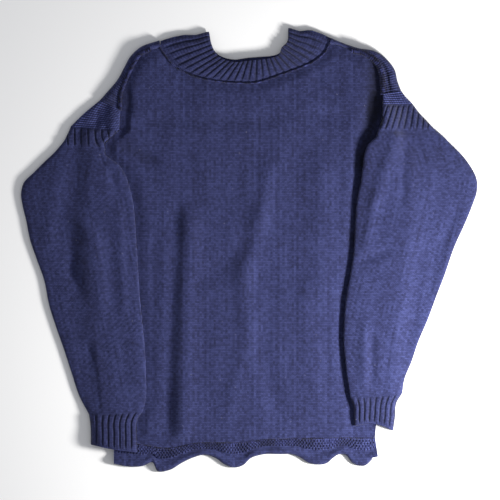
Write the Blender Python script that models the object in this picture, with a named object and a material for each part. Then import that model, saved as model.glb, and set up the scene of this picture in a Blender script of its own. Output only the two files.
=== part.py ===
"""A navy fisherman sweater, laid flat with its sleeves folded down along the body.

Metres, +Z up from the surface that it lies on, +Y towards the neck, +X to the wearer's left.
The underside is flat at z = 0, and the origin is at the middle of the outline.
Tables and sizes are in millimetres. Left and right are as seen from above.
"""

import math

import bmesh
import bpy
import numpy as np

MM = 0.001

# Driving sizes, in millimetres
WALL = 3.0  # thickness of the knitted cloth
GAP = 0.3  # clearance between neighbouring pieces
REST = 0.6  # clearance between a sleeve and the body that it lies on
FLAT = 2 * WALL + GAP  # height of two layers pressed together
HOLLOW = 3.4  # the most that two layers part inside
PUFF = 1.6  # how far the front stands off the back in the middle
SLEEVE_PUFF = 2.6
RIB_HEIGHT = 1.5
RIDGE_HEIGHT = 0.8
RIDGE_PITCH = 3.6
EDGE_ROUND = 7.0  # width over which a folded edge rounds down
RAMP = 14.0  # width over which a sleeve climbs onto the body
RAMP_CLEAR = 3.0
BELOW = 13.0  # how far down the body's edge is also looked at, to climb in time
HEM_RISE = 3.0  # a cuff that reaches the hem rides this much higher, over the hem's curl
HEM_NEAR = -288.0  # y at which it starts to rise
NECK_RIBS = 27
CUFF_RIBS = 8
BAND_RIBS = 8
SEAM_CORD = 1.2  # radius
ROPE_CORD = 2.4  # radius
ROPE_TWIST = 5.0  # length of one turn of the rope
ROPE_LIFT = 0.25  # clearance of the rope over the cloth under it

CLOTH_STEP = 22.0  # longer stretches of the body's rim get a column in their middle

# The line where the straps and the neckband meet the front: x, y
ROPE_LEFT = ((-212, 232), (-211, 257), (-203, 280), (-191, 305), (-180, 322), (-163, 330), (-146, 334))
NECK_BASE = (
    (-136, 319), (-124, 305), (-106, 294), (-82, 285), (-59, 280), (-33, 277), (-7, 276), (13, 277),
    (33, 283), (58, 292), (86, 302), (107, 312), (125, 327), (132, 340),
)
ROPE_RIGHT = ((143, 339), (170, 329), (196, 321), (212, 306), (218.5, 288), (220, 272), (220.5, 258))
# The folded outer edge of each strap, beside the points of its rope
STRAP_LEFT_EDGE = ((-246, 247), (-232, 263), (-217, 281), (-205, 303), (-196, 319), (-180, 334), (-148, 346))
STRAP_RIGHT_EDGE = ((144, 346), (181, 333), (208, 328), (228, 314), (241, 296), (245, 279), (251, 263))
# The neckband's upper edge, and the ends of its base
NECK_TOP = (
    (-69, 360), (-64, 340), (-54, 323), (-40, 314), (-23, 310), (-3, 312), (18, 314), (38, 317),
    (50, 322), (54, 332), (64, 342), (68, 366),
)
NECK_LEFT_END, NECK_RIGHT_END = (-145.5, 345), (136, 349)
# How far its side folds bow up: share of the height, left, right
NECK_BOW = ((0.0, 0.0, 0.0), (0.25, 1.0, 4.0), (0.5, 0.0, 5.5), (0.75, -6.0, -1.5), (1.0, 0.0, 0.0))
NECK_BACK_RAISE = 5.0  # the back's upper edge shows this far above the front's
NECK_BACK_COLUMNS = 16

# Sides of the body, a row for each section: left x, left y, right x, right y
BODY_SIDES = (
    (-223, -318, 208, -309), (-229, -235, 216, -223.4), (-236, -148, 224.5, -133.7),
    (-243, -65, 235, -48.2), (-249, 16, 244, 35.3), (-246, 80, 246, 101.3), (-241, 125, 236, 147.7),
    (-238, 150, 222, 173.5), (-237, 163, 209.5, 186.9), (-237, 176, 213.5, 200.3),
    (-226, 187, 219.3, 211.6), (-213, 198, 219.9, 222.9), (-212.5, 215, 219.9, 240.5),
    (-212.2, 224, 220.2, 249.8), (-212, 232, 220.5, 258),
)
LONG_ROW = 60.0  # rows of the front further apart than this get one between them

# Hem: x, top line of the moss-stitch band, lower edge of the curled welt
HEM = (
    (-223, -318, -353), (-191, -318, -358), (-173, -321, -356), (-159, -323, -350), (-150, -325, -365),
    (-130, -326, -363), (-109, -322, -351), (-89, -318, -342), (-71, -317, -338), (-56, -317, -342),
    (-36, -317, -355), (-25, -317, -359), (-7, -316, -355), (5, -315, -344), (23, -312, -338),
    (58, -311, -337), (73, -310, -337), (87, -310, -342), (102, -310, -351), (134, -309, -351),
    (142, -309, -344), (154, -309, -337), (163, -309, -338), (175, -309, -351), (196, -309, -356),
    (208, -309, -346),
)
HEM_END = 203.0  # x of the lower right corner
BAND_SHARE = 0.48  # of the way from the top line to the lower edge
BACK_HEM_RAISE = 4.0
VENT_CORNER = (213.0, -341.0)
# Section of the front's welt: share of its width, height of its curl above the flat cloth
CURL = ((0.0, 0.0), (0.2, -0.6), (0.55, 2.6), (0.82, 1.6), (1.0, -1.6))

# Flattened tubes, a row for each section: left x, left y, right x, right y
HEAD_LEFT = ((-246, 244.5, -212.8, 231.5), (-272, 225.5, -213.2, 215), (-294, 204, -213.8, 198.6))
BAND_LEFT = (
    HEAD_LEFT[-1], (-300, 190, -226.9, 187), (-306, 179, -237.8, 176.5), (-313.5, 169.5, -237.9, 167),
)
SLEEVE_LEFT = (
    BAND_LEFT[-1], (-321, 161, -238.2, 159.5), (-335, 148, -229, 151), (-355, 128, -214, 140),
    (-371, 112, -204, 124), (-376, 95, -197, 104), (-374, 75, -191, 76), (-368, 50, -188, 50),
    (-361, 16, -186, 18), (-350, -16, -184, -16), (-338, -50, -182, -50), (-330, -90, -179, -90),
    (-318, -128, -175, -128), (-305, -165, -172, -165), (-292, -205, -170, -205),
    (-279, -243, -170, -243), (-264, -271, -175, -266),
)
CUFF_LEFT = (SLEEVE_LEFT[-1], (-262, -286, -184, -281), (-261, -304, -185, -308), (-261, -321, -185, -334))
HEAD_RIGHT = ((221.2, 257.2, 251, 261.5), (220.8, 249.5, 260, 251), (220.5, 240.5, 270, 241))
BAND_RIGHT = (
    HEAD_RIGHT[-1], (220.5, 223, 283, 224), (219.9, 211.6, 294, 212.5), (214.1, 200.3, 304, 202),
    (212.6, 195, 309, 197),
)
SLEEVE_RIGHT = (
    BAND_RIGHT[-1], (210.3, 187.5, 320, 188), (198, 176, 333, 175), (191, 160, 353, 155),
    (188, 140, 367, 136), (185, 115, 376, 116), (180, 92, 376, 96), (177, 70, 368, 72),
    (175, 40, 357, 45), (173, 0, 339, 5), (167, -41, 323, -41), (160, -80, 308, -80),
    (157, -115, 295, -115), (156, -150, 280, -150), (159, -185, 268, -185), (162, -212, 257, -212),
    (167, -243, 253, -236),
)
CUFF_RIGHT = (SLEEVE_RIGHT[-1], (173, -260, 243, -254), (173, -275, 241, -277), (174, -290, 238, -298))
CUFF_SAG = (2.0, -7.0)  # how far the middle of each cuff's end lies above its corners

# Folds: x and y of each end, half width, height (a trough is negative)
BODY_FOLDS = (
    (-98, 40, -110, -310, 16, 4.6),
    (-120, 60, -134, -290, 11, -2.6),
    (-158, 10, -162, -240, 13, -2.2),
    (32, 125, 18, 50, 12, 2.6),
    (18, 50, -8, -40, 13, 4.2),
    (-8, -40, -8, -120, 13, 3.0),
    (0, 15, -80, -55, 12, -2.6),
    (2, -130, -28, -250, 14, 3.0),
    (22, -170, 50, -265, 13, -2.0),
    (-160, 214, 34, 214, 11, -1.8),
    (-203, 262, -200, 236, 6, -2.6),
    (-200, 170, -168, 152, 9, -3.0),
    (120, 222, 146, 218, 12, -2.4),
    (112, 300, 116, 285, 9, -1.8),
    (120, 120, 118, -60, 22, 3.4),
    (96, -80, 108, -260, 15, 2.6),
)
LEFT_FOLDS = (
    (-292, 8, -292, -33, 9, -2.4),
    (-292, -33, -279, -66, 9, -2.0),
    (-262, -165, -251, -248, 8, -2.2),
    (-287, 58, -254, 16, 12, 2.8),
    (-254, 16, -244, -90, 11, 2.4),
    (-245, 170, -226, 120, 8, -2.6),
    (-320, 110, -330, 30, 12, 2.2),
    (-214, 60, -208, -90, 9, 2.2),
)
RIGHT_FOLDS = (
    (241, 182, 208, 82, 11, 3.0),
    (208, 82, 191, 16, 10, 2.4),
    (257, 165, 254, 85, 7, -2.4),
    (290, 90, 282, 30, 12, 2.4),
    (340, 58, 315, 0, 9, -2.2),
    (315, 0, 302, -66, 9, -2.2),
    (175, -20, 224, -4, 7, -2.2),
    (191, -132, 191, -215, 8, 2.4),
    (203, -148, 203, -215, 6, -2.2),
)

NAVY = (0.0075, 0.0095, 0.038)
COLLECTION = "fisherman_sweater"


def clear_scene():
    for thing in list(bpy.context.scene.objects):
        bpy.data.objects.remove(thing, do_unlink=True)


def wool(name, tint):
    """Navy worsted wool, slightly lighter or darker by tint."""
    material = bpy.data.materials.new(name)
    material.use_nodes = True
    shader = material.node_tree.nodes["Principled BSDF"]
    shader.inputs["Base Color"].default_value = (*(c * tint for c in NAVY), 1.0)
    shader.inputs["Roughness"].default_value = 0.92
    shader.inputs["Metallic"].default_value = 0.0
    return material


def smooth(value):
    """0 below 0, 1 above 1, with a soft start and end."""
    value = np.clip(value, 0.0, 1.0)
    return value * value * (3 - 2 * value)


def along(points, share):
    """The places at those shares of the length of a line through the points."""
    points = np.array(points, float)
    step = np.linalg.norm(np.diff(points, axis=0), axis=1)
    reach = np.concatenate([[0], np.cumsum(step)]) / step.sum()
    return np.stack([np.interp(share, reach, points[:, k]) for k in range(points.shape[1])], axis=-1)


def shifted(points, distance):
    """The line moved to its left by that distance, the same all along."""
    points = np.array(points, float)
    step = np.diff(points, axis=0)
    step /= np.linalg.norm(step, axis=1)[:, None]
    ahead = np.vstack([step, step[-1:]])
    behind = np.vstack([step[:1], step])
    normal = np.stack([-(ahead + behind)[:, 1], (ahead + behind)[:, 0]], axis=1)
    normal /= np.linalg.norm(normal, axis=1)[:, None]
    own = np.stack([-ahead[:, 1], ahead[:, 0]], axis=1)
    lean = np.clip((normal * own).sum(1), 0.5, 1.0)
    return points + normal * (distance / lean)[:, None]


def fold_height(x, y, folds):
    """The height that the folds add at each place."""
    total = np.zeros(np.shape(x))
    for x0, y0, x1, y1, width, height in folds:
        run, rise = x1 - x0, y1 - y0
        length = math.hypot(run, rise)
        share = ((x - x0) * run + (y - y0) * rise) / length**2
        aside = ((x - x0) * rise - (y - y0) * run) / length
        beyond = np.maximum(np.maximum(-share, share - 1), 0) * length
        total = total + height * np.exp(-((aside / width) ** 2) - (beyond / (1.6 * width)) ** 2)
    return total


def side_x(rows, y, column):
    """The x of a tube's left (0) or right (2) edge at height y on the plan."""
    table = np.array(sorted((row[column + 1], row[column]) for row in rows))
    return np.interp(y, table[:, 0], table[:, 1])


INNER_LEFT = HEAD_LEFT[:-1] + BAND_LEFT[:-1] + SLEEVE_LEFT[:-1] + CUFF_LEFT
INNER_RIGHT = HEAD_RIGHT[:-1] + BAND_RIGHT[:-1] + SLEEVE_RIGHT[:-1] + CUFF_RIGHT


def body_relief(plan, rim):
    """How far the front stands above two flat layers, falling to nothing at its rim and its sleeves."""
    x, y = plan[..., 0], plan[..., 1]
    clear = np.minimum(x - side_x(INNER_LEFT, y, 2), side_x(INNER_RIGHT, y, 0) - x)
    edge = np.sqrt(((plan[:, :, None] - rim[None, None]) ** 2).sum(-1)).min(-1)
    relief = np.clip(PUFF + fold_height(x, y, BODY_FOLDS), 0.0, 6.5)
    return relief * smooth((clear - 2) / 22) * smooth(edge / 24)


def with_middles(points, longest):
    """The line with a point added in the middle of each stretch longer than that."""
    line = [points[0]]
    for a, b in zip(points, points[1:]):
        if math.dist(a[:2], b[:2]) > longest:
            line.append(tuple((p + q) / 2 for p, q in zip(a, b)))
        line.append(b)
    return line


def hem_line(x, column):
    """y of the hem's top line (1) or lower edge (2) at x."""
    return np.interp(x, [row[0] for row in HEM], [row[column] for row in HEM])


def body_plan(sides):
    """Grid of places between the hem, the sides and the top rim, a row for each section of the sides."""
    top = shifted(with_middles(ROPE_LEFT + NECK_BASE + ROPE_RIGHT, CLOTH_STEP), -GAP / 2)
    top[0], top[-1] = ROPE_LEFT[0], ROPE_RIGHT[-1]
    x = np.linspace(sides[0][0], sides[0][2], len(top))
    bottom = np.column_stack([x, hem_line(x, 1) + GAP / 2])
    bottom[[0, -1], 1] = sides[0][1], sides[0][3]
    table = np.array(sides)

    def share_of_width(places):
        left = np.interp(places[:, 1], table[:, 1], table[:, 0])
        right = np.interp(places[:, 1], table[:, 3], table[:, 2])
        return (places[:, 0] - left) / (right - left)

    low, high = share_of_width(bottom), share_of_width(top)
    rows = []
    for t in (table[:, 1] - table[0, 1]) / (table[-1, 1] - table[0, 1]):
        y = (1 - t) * bottom[:, 1] + t * top[:, 1]
        left = np.interp(y, table[:, 1], table[:, 0])
        right = np.interp(y, table[:, 3], table[:, 2])
        rows.append(np.column_stack([left + ((1 - t) * low + t * high) * (right - left), y]))
    return np.array(rows)


def add_mesh(name, points, faces, material):
    """A closed solid from its points in millimetres, with its faces turned out."""
    mesh = bpy.data.meshes.new(name)
    mesh.from_pydata([tuple(float(c) * MM for c in p) for p in points], [], faces)
    form = bmesh.new()
    form.from_mesh(mesh)
    bmesh.ops.recalc_face_normals(form, faces=form.faces)
    form.to_mesh(mesh)
    form.free()
    mesh.shade_smooth()
    mesh.set_sharp_from_angle(angle=math.radians(50))
    mesh.materials.append(material)
    thing = bpy.data.objects.new(name, mesh)
    bpy.data.collections[COLLECTION].objects.link(thing)
    return thing


def skin(count, size, first, flip):
    """Faces between closed loops of points, the first of which has that index."""
    faces = []
    for i in range(count - 1):
        for j in range(size):
            a, b = first + i * size + j, first + i * size + (j + 1) % size
            face = (a, b, b + size, a + size)
            faces.append(face[::-1] if flip else face)
    return faces


def add_solid_loft(name, loops, material):
    """A solid through closed loops, each with its two halves facing, and both ends closed."""
    count, size = loops.shape[:2]
    faces = skin(count, size, 0, False)
    for start, flip in ((0, True), ((count - 1) * size, False)):
        for j in range(size // 2 - 1):
            face = (start + j, start + j + 1, start + size - 2 - j, start + size - 1 - j)
            faces.append(face[::-1] if flip else face)
    return add_mesh(name, loops.reshape(-1, 3), faces, material)


def add_wall(name, plan, under, over, material):
    """A wall over a grid of places, from the heights of its underside and its upper side."""
    upper = np.dstack([plan, np.broadcast_to(over, plan.shape[:2])])
    lower = np.dstack([plan, np.broadcast_to(under, plan.shape[:2])])[:, ::-1]
    return add_solid_loft(name, np.concatenate([upper, lower], axis=1), material)


def add_tube(name, outer, inner, material):
    """A wall between outer and inner loops, open at both ends."""
    size = outer.shape[1]
    points = np.concatenate([outer.reshape(-1, 3), inner.reshape(-1, 3)])
    start = len(outer) * size
    faces = skin(len(outer), size, 0, False) + skin(len(inner), size, start, True)
    last = (start - size, len(points) - size)
    for (a, b), flip in (((0, start), True), (last, False)):
        for j in range(size):
            k = (j + 1) % size
            face = (a + j, a + k, b + k, b + j)
            faces.append(face[::-1] if flip else face)
    return add_mesh(name, points, faces, material)


def body_edges(y):
    """x of the body's left and right edge at y, or a little further down where it is wider."""
    rows = np.array(BODY_SIDES)
    left = [np.interp(y - down, rows[:, 1], rows[:, 0]) for down in (0.0, BELOW)]
    right = [np.interp(y - down, rows[:, 3], rows[:, 2]) for down in (0.0, BELOW)]
    return np.minimum(*left), np.maximum(*right)


def body_floor(x, y):
    """How high a sleeve's underside lies: on the surface, or on the body past its side."""
    left, right = body_edges(y)
    inside = np.minimum(x - left, right - x) + RAMP_CLEAR + RAMP
    return (FLAT + REST + HEM_RISE * smooth((HEM_NEAR - y) / 25)) * np.clip(inside / RAMP, 0.0, 1.0)


def trimmed(rows):
    """The rows with the first and the last moved in by half the gap to the next piece."""
    rows = [np.array(row, float) for row in rows]
    for end, beside in ((0, 1), (-1, -2)):
        middle = (rows[beside] - rows[end]).reshape(2, 2).mean(0)
        rows[end] = rows[end] + np.tile(middle / np.linalg.norm(middle), 2) * GAP * 0.6
    return rows


def ramp_shares(row, near):
    """Shares of a section's width at which it starts and ends its climb onto the body."""
    left, right = row[:2], row[2:]
    width = np.linalg.norm(right - left)
    if left[0] < 0:
        edge = body_edges(right[1])[0] - RAMP_CLEAR
        start, end = edge - RAMP - left[0], edge - left[0]
    else:
        edge = body_edges(left[1])[1] + RAMP_CLEAR
        start, end = edge - left[0], edge + RAMP - left[0]
    low, high = near + 0.1, 0.9 - near
    start = np.clip(start / width, low, high - 0.08)
    return start, np.clip(end / width, start + 0.06, high)


def across(row, columns, climbs):
    """Shares of a section's width, closer together at its folded edges and about its climb."""
    width = np.linalg.norm(row[2:] - row[:2])
    near = np.array([0.0, 2.2, EDGE_ROUND]) / width
    if not climbs:
        middle = np.linspace(near[-1], 1 - near[-1], columns)[1:-1]
    else:
        start, end = ramp_shares(row, near[-1])
        first = np.linspace(near[-1], start, columns // 2 + 1)[1:]
        second = np.linspace(end, 1 - near[-1], columns // 2 + 1)[:-1]
        middle = np.concatenate([first, second])
    return np.concatenate([near, middle, (1 - near)[::-1]])


def edge_curve(distance, width):
    """1 away from a folded edge, falling to 0 at it like a quarter of an ellipse."""
    near = np.clip(np.minimum(distance, width - distance) / EDGE_ROUND, 0.0, 1.0)
    return np.sqrt(1 - (1 - near) ** 2)


def tube_loops(rows, columns, folds, puff, extra=None, climbs=False, inner_rows=None, sag=0.0):
    """Outer and inner loops of a flattened tube.

    extra(i, share) is what ribs or ridges add outside, and sag lowers the middle of the last section.
    """
    outer, inner = [], []
    for i, row in enumerate(rows):
        share = across(row, columns, climbs)
        width = np.linalg.norm(row[2:] - row[:2])
        distance = share * width
        places = row[:2] + share[:, None] * (row[2:] - row[:2])
        tucked = WALL / width + share * (1 - 2 * WALL / width)
        inside = row[:2] + tucked[:, None] * (row[2:] - row[:2])
        if i == len(rows) - 1:
            places[:, 1] -= sag * np.sin(np.pi * share)
            inside[:, 1] -= sag * np.sin(np.pi * tucked)
        lifted = climbs == "all" or (climbs and i > 0)
        low = body_floor(*places.T) if lifted else np.zeros(len(places))
        base = body_floor(*inside.T) if lifted else np.zeros(len(places))
        curve = edge_curve(distance, width)
        flap = smooth(np.minimum(distance, width - distance) / 24)
        rise = np.clip(puff + fold_height(*places.T, folds), 0.0, 6.5) * flap
        raised = extra(i, share) * curve if extra else 0.0
        top = low + FLAT * (0.72 + 0.28 * curve) + rise + raised
        bottom = low + 0.22 * FLAT * (1 - curve)
        roof = base + WALL + GAP + np.minimum(rise, HOLLOW - GAP)
        outer.append(np.vstack([np.column_stack([places, top]), np.column_stack([places, bottom])[::-1]]))
        hollow = np.column_stack([inside, roof])
        inner.append(np.vstack([hollow, np.column_stack([inside, base + WALL])[::-1]]))
    kept = range(len(rows)) if inner_rows is None else inner_rows
    return np.array(outer), np.array([inner[k] for k in kept])


def ribs(count, fade):
    """Heights of 2x2 ribs across a section: flat ridges with a narrow groove between them."""
    def height(i, share):
        turn = (share * count) % 1.0
        return RIB_HEIGHT * fade[i] * np.clip(3.2 * np.minimum(turn, 1 - turn), 0.0, 1.0)
    return height


def ridges(i, share):
    """Heights of the garter ridges, one on every second section."""
    return RIDGE_HEIGHT * (i % 2) * np.ones(len(share))


def between(rows, pitch):
    """Sections between the given ones, about that far apart at the tube's middle."""
    rows = np.array(rows, float)
    middle = rows.reshape(-1, 2, 2).mean(1)
    reach = np.concatenate([[0], np.cumsum(np.linalg.norm(np.diff(middle, axis=0), axis=1))])
    count = 2 * round(reach[-1] / pitch) + 1
    at = np.linspace(0, reach[-1], count)
    return [np.array([np.interp(a, reach, rows[:, k]) for k in range(4)]) for a in at]


def add_body(front_wool, back_wool):
    """Front and back: the same plan, the back flat and the front with its folds."""
    front = body_plan(with_row_middles(BODY_SIDES))
    rim = np.concatenate([front[0], front[-1], front[:, 0], front[:, -1]])
    relief = body_relief(front, rim)
    under = WALL + GAP + np.minimum(relief, HOLLOW - GAP)
    add_wall("front_panel", front, under, FLAT + relief, front_wool)
    add_wall("back_panel", body_plan(BODY_SIDES), 0.0, WALL, back_wool)


def with_row_middles(sides):
    """The body's sections with one more between those that lie far apart."""
    rows = [sides[0]]
    for a, b in zip(sides, sides[1:]):
        if b[1] - a[1] > LONG_ROW:
            rows.append(tuple((p + q) / 2 for p, q in zip(a, b)))
        rows.append(b)
    return rows


def add_hem(front_wool, back_wool):
    """Moss-stitch band and welt of the front and, plain and flat, of the back."""
    columns = len(with_middles(ROPE_LEFT + NECK_BASE + ROPE_RIGHT, CLOTH_STEP))
    x = np.linspace(HEM[0][0], HEM[-1][0], columns)
    top = np.column_stack([x, hem_line(x, 1) - GAP / 2])
    narrowing = (HEM_END - HEM[0][0]) / (HEM[-1][0] - HEM[0][0])
    edge = np.column_stack([HEM[0][0] + (x - HEM[0][0]) * narrowing, hem_line(x, 2)])
    back_edge = edge + (0.0, BACK_HEM_RAISE)
    back_edge[-1] = VENT_CORNER
    seam = GAP / 2 / abs(edge - top)[:, 1:].mean()
    shares = np.array([0.0, 0.5, 1.0]) * (BAND_SHARE - seam)
    raise_by = np.array([0.0, 0.8, 0.0])[:, None]
    for name, low, wool_used, over in (("front_hem_band", edge, front_wool, FLAT + raise_by),
                                       ("back_hem_band", back_edge, back_wool, WALL + 0 * raise_by)):
        plan = top + shares[:, None, None] * (low - top)
        add_wall(name, plan, over[0] - WALL, over, wool_used)
    curl = np.array(CURL)
    shares = BAND_SHARE + seam + curl[:, 0] * (1 - BAND_SHARE - seam)
    plan = top + shares[:, None, None] * (edge - top)
    add_wall("front_hem_welt", plan, WALL + GAP, FLAT + curl[:, 1:], front_wool)
    plan = top + shares[[0, -1], None, None] * (back_edge - top)
    add_wall("back_hem_welt", plan, 0.0, WALL, back_wool)


def add_strap(name, lip, fold, material):
    """A strap folded over the shoulder: one wall from its front lip round the fold to its back lip."""
    loops = []
    for a, b in zip(lip, fold):
        a, b = np.array(a, float), np.array(b, float)
        width = np.linalg.norm(b - a)
        share = np.array([0.0, 0.4, 0.7, max(1 - 2.0 / width, 0.85), 1.0])
        places = a + share[:, None] * (b - a)
        top = FLAT * np.array([1.0, 1.08, 1.06, 0.94, 0.68])
        low = FLAT * np.array([0.0, 0.0, 0.0, 0.08, 0.32])
        outside = np.vstack([np.column_stack([places, top]), np.column_stack([places, low])[::-1]])
        depth = 1 - WALL / width
        slot = a + np.array([0.0, 0.4, 0.75, 0.9, 1.0])[:, None] * depth * (b - a)
        low_slot = np.column_stack([slot, np.full(5, WALL)])
        high_slot = np.column_stack([slot, np.full(5, WALL + GAP)])
        loops.append(np.vstack([outside, low_slot, high_slot[::-1]]))
    loops = np.array(loops)
    count, size = loops.shape[:2]
    faces = skin(count, size, 0, False)
    for start, flip in ((0, True), ((count - 1) * size, False)):
        for j in range(4):
            for a, b in ((j, 19 - j), (5 + j, 14 - j)):
                step = 1
                c, d = a + step, b - step
                face = (start + a, start + c, start + d, start + b)
                faces.append(face[::-1] if flip else face)
        face = (start + 4, start + 5, start + 14, start + 15)
        faces.append(face[::-1] if flip else face)
    return add_mesh(name, loops.reshape(-1, 3), faces, material)


def add_neckband(material):
    """The collar, a flattened ribbed tube from its picked-up base to its upper edge."""
    base_line = shifted([NECK_LEFT_END, ROPE_LEFT[-1], *NECK_BASE, NECK_RIGHT_END], GAP)
    front = np.linspace(0, 1, 3 * NECK_RIBS + 1)
    back = np.linspace(1, 0, NECK_BACK_COLUMNS)
    share = np.concatenate([front, back])
    is_back = np.arange(len(share)) >= len(front)
    base, top = along(base_line, share), along(NECK_TOP, share)
    top[:, 1] += np.where(is_back, NECK_BACK_RAISE * np.sin(np.pi * share) ** 2, 0.0)
    side = np.minimum(share, 1 - share)
    turn = (share * NECK_RIBS) % 1.0
    rib = np.clip(3.2 * np.minimum(turn, 1 - turn), 0.0, 1.0) * smooth(side / 0.03)
    outer, inner = [], []
    for t, left_bow, right_bow in NECK_BOW:
        line = (1 - t) * base + t * top
        line[:, 1] += left_bow * np.exp(-share / 0.06) + right_bow * np.exp((share - 1) / 0.06)
        puff = 2.2 * t * smooth(side / 0.08)
        over = FLAT * (0.74 + 0.26 * smooth(side / 0.02)) + puff + RIB_HEIGHT * rib * min(1.0, 4 * t)
        under = 0.18 * FLAT * (1 - smooth(side / 0.06))
        outer.append(np.column_stack([line, np.where(is_back, under, over)]))
        pull = np.sign(0.5 - share) * WALL * (1 - smooth(side / 0.25))
        inside = line + np.column_stack([pull, 0 * pull])
        inner.append(np.column_stack([inside, np.where(is_back, WALL, WALL + GAP + np.minimum(puff, HOLLOW - GAP))]))
    add_tube("neckband", np.array(outer), np.array(inner)[[0, 2, 4]], material)


def add_cord(name, points, radius, twist, material):
    """A round cord through those points, thinner and thicker along each turn of its twist."""
    curve = bpy.data.curves.new(name, "CURVE")
    curve.dimensions = "3D"
    curve.bevel_depth = radius * MM
    curve.bevel_resolution = 1
    curve.use_fill_caps = True
    line = curve.splines.new("POLY")
    line.points.add(len(points) - 1)
    for i, (point, place) in enumerate(zip(line.points, points)):
        point.co = (*(float(c) * MM for c in place), 1.0)
        point.radius = 1.0 - (0.28 * (i % 2) if twist else 0.0)
    curve.materials.append(material)
    thing = bpy.data.objects.new(name, curve)
    bpy.data.collections[COLLECTION].objects.link(thing)
    return thing


def add_cords(material):
    """The seam line round the neckband and the rope along each strap, laid on the cloth below them."""
    seam = np.array(with_middles([ROPE_LEFT[-1], *NECK_BASE], CLOTH_STEP))
    height = FLAT + GAP + SEAM_CORD
    add_cord("neck_seam_cord", np.column_stack([seam, np.full(len(seam), height)]), SEAM_CORD, False, material)
    for name, line in (("left_shoulder_rope", ROPE_LEFT[:-1]), ("right_shoulder_rope", ROPE_RIGHT[1:])):
        length = sum(math.dist(a, b) for a, b in zip(line, line[1:]))
        places = along(line, np.linspace(0, 1, 2 * round(length / ROPE_TWIST) + 1))
        height = FLAT + ROPE_LIFT + ROPE_CORD
        add_cord(name, np.column_stack([places, np.full(len(places), height)]), ROPE_CORD, True, material)


def add_sleeve(side, head, band, sleeve, cuff, folds, sag, wools):
    """One sleeve from its ridged head to its cuff, as four flattened tubes end to end."""
    rows = trimmed(between(head, RIDGE_PITCH))
    ends = (0, len(rows) // 2, len(rows) - 1)
    outer, inner = tube_loops(rows, 5, folds, 0.6, ridges, inner_rows=ends)
    add_tube(f"{side}_sleeve_head", outer, inner, wools["head"])
    rows = trimmed(band)
    fade = [0.4, *[1.0] * (len(rows) - 2), 0.3]
    outer, inner = tube_loops(rows, 3 * BAND_RIBS + 1, folds, 1.0, ribs(BAND_RIBS, fade))
    add_tube(f"{side}_sleeve_rib", outer, inner, wools["ribbed"])
    outer, inner = tube_loops(trimmed(sleeve), 10, folds, SLEEVE_PUFF, climbs=True)
    add_tube(f"{side}_sleeve", outer, inner, wools["plain"])
    rows = trimmed(cuff)
    fade = [0.3, 1.0, 1.0, 0.9]
    outer, inner = tube_loops(
        rows, 3 * CUFF_RIBS + 1, (), 2.0, ribs(CUFF_RIBS, fade), climbs="all", inner_rows=(0, 2, 3), sag=sag
    )
    add_tube(f"{side}_cuff", outer, inner, wools["ribbed"])


def main():
    clear_scene()
    group = bpy.data.collections.get(COLLECTION) or bpy.data.collections.new(COLLECTION)
    if group.name not in bpy.context.scene.collection.children:
        bpy.context.scene.collection.children.link(group)
    wools = {
        "plain": wool("navy_wool_plain", 1.0),
        "back": wool("navy_wool_back", 0.9),
        "ribbed": wool("navy_wool_ribbed", 1.05),
        "head": wool("navy_wool_ridged", 1.1),
        "cord": wool("navy_wool_cord", 1.3),
    }
    add_body(wools["plain"], wools["back"])
    add_hem(wools["ribbed"], wools["back"])
    rim = shifted(ROPE_LEFT + NECK_BASE + ROPE_RIGHT, GAP / 2)
    add_strap("left_shoulder_strap", rim[:len(ROPE_LEFT)], STRAP_LEFT_EDGE, wools["head"])
    add_strap("right_shoulder_strap", rim[-len(ROPE_RIGHT):], STRAP_RIGHT_EDGE, wools["head"])
    add_neckband(wools["ribbed"])
    add_cords(wools["cord"])
    add_sleeve("left", HEAD_LEFT, BAND_LEFT, SLEEVE_LEFT, CUFF_LEFT, LEFT_FOLDS, CUFF_SAG[0], wools)
    add_sleeve("right", HEAD_RIGHT, BAND_RIGHT, SLEEVE_RIGHT, CUFF_RIGHT, RIGHT_FOLDS, CUFF_SAG[1], wools)


main()
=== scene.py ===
# %% [markdown]
# # A navy fisherman's sweater, laid flat
# The sweater is knitted from hard-spun worsted wool in plain stocking stitch. Its sleeves are folded
# down along the body. Each knitted piece is a thin closed shell of cloth in the place of its CAD solid.

# %% Load the fixed frame
import math

import bmesh
import bpy
import numpy as np
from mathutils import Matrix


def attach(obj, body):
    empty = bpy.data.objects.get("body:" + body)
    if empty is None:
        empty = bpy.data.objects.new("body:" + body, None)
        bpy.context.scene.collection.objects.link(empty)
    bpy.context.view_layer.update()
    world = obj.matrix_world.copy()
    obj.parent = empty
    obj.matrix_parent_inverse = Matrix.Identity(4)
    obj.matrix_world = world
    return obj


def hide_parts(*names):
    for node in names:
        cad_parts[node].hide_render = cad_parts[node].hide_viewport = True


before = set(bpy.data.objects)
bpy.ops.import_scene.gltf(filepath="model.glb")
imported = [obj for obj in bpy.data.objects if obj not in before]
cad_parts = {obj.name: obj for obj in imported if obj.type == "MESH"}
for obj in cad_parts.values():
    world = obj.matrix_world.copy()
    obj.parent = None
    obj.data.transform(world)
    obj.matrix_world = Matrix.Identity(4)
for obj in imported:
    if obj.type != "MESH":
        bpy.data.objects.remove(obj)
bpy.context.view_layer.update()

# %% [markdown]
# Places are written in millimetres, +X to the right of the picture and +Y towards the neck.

MM = 0.001
WALL = 3.0  # thickness of the knitted cloth
GAP = 0.3  # between the front and the back where they are pressed together
FLAT = 2 * WALL + GAP
REST = 0.6  # between a sleeve and the body that it lies on
WALE = 3.9  # width of one column of stitches, drawn a little coarse so that it shows
ROW = 2.8  # height of one row of stitches

# %% [markdown]
# ## Camera, floor and light
# The sweater lay on a floor and was seen from straight above. A flat lens without perspective keeps
# every edge at its place. Another way is a long lens far away, which gives nearly the same picture.

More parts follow.
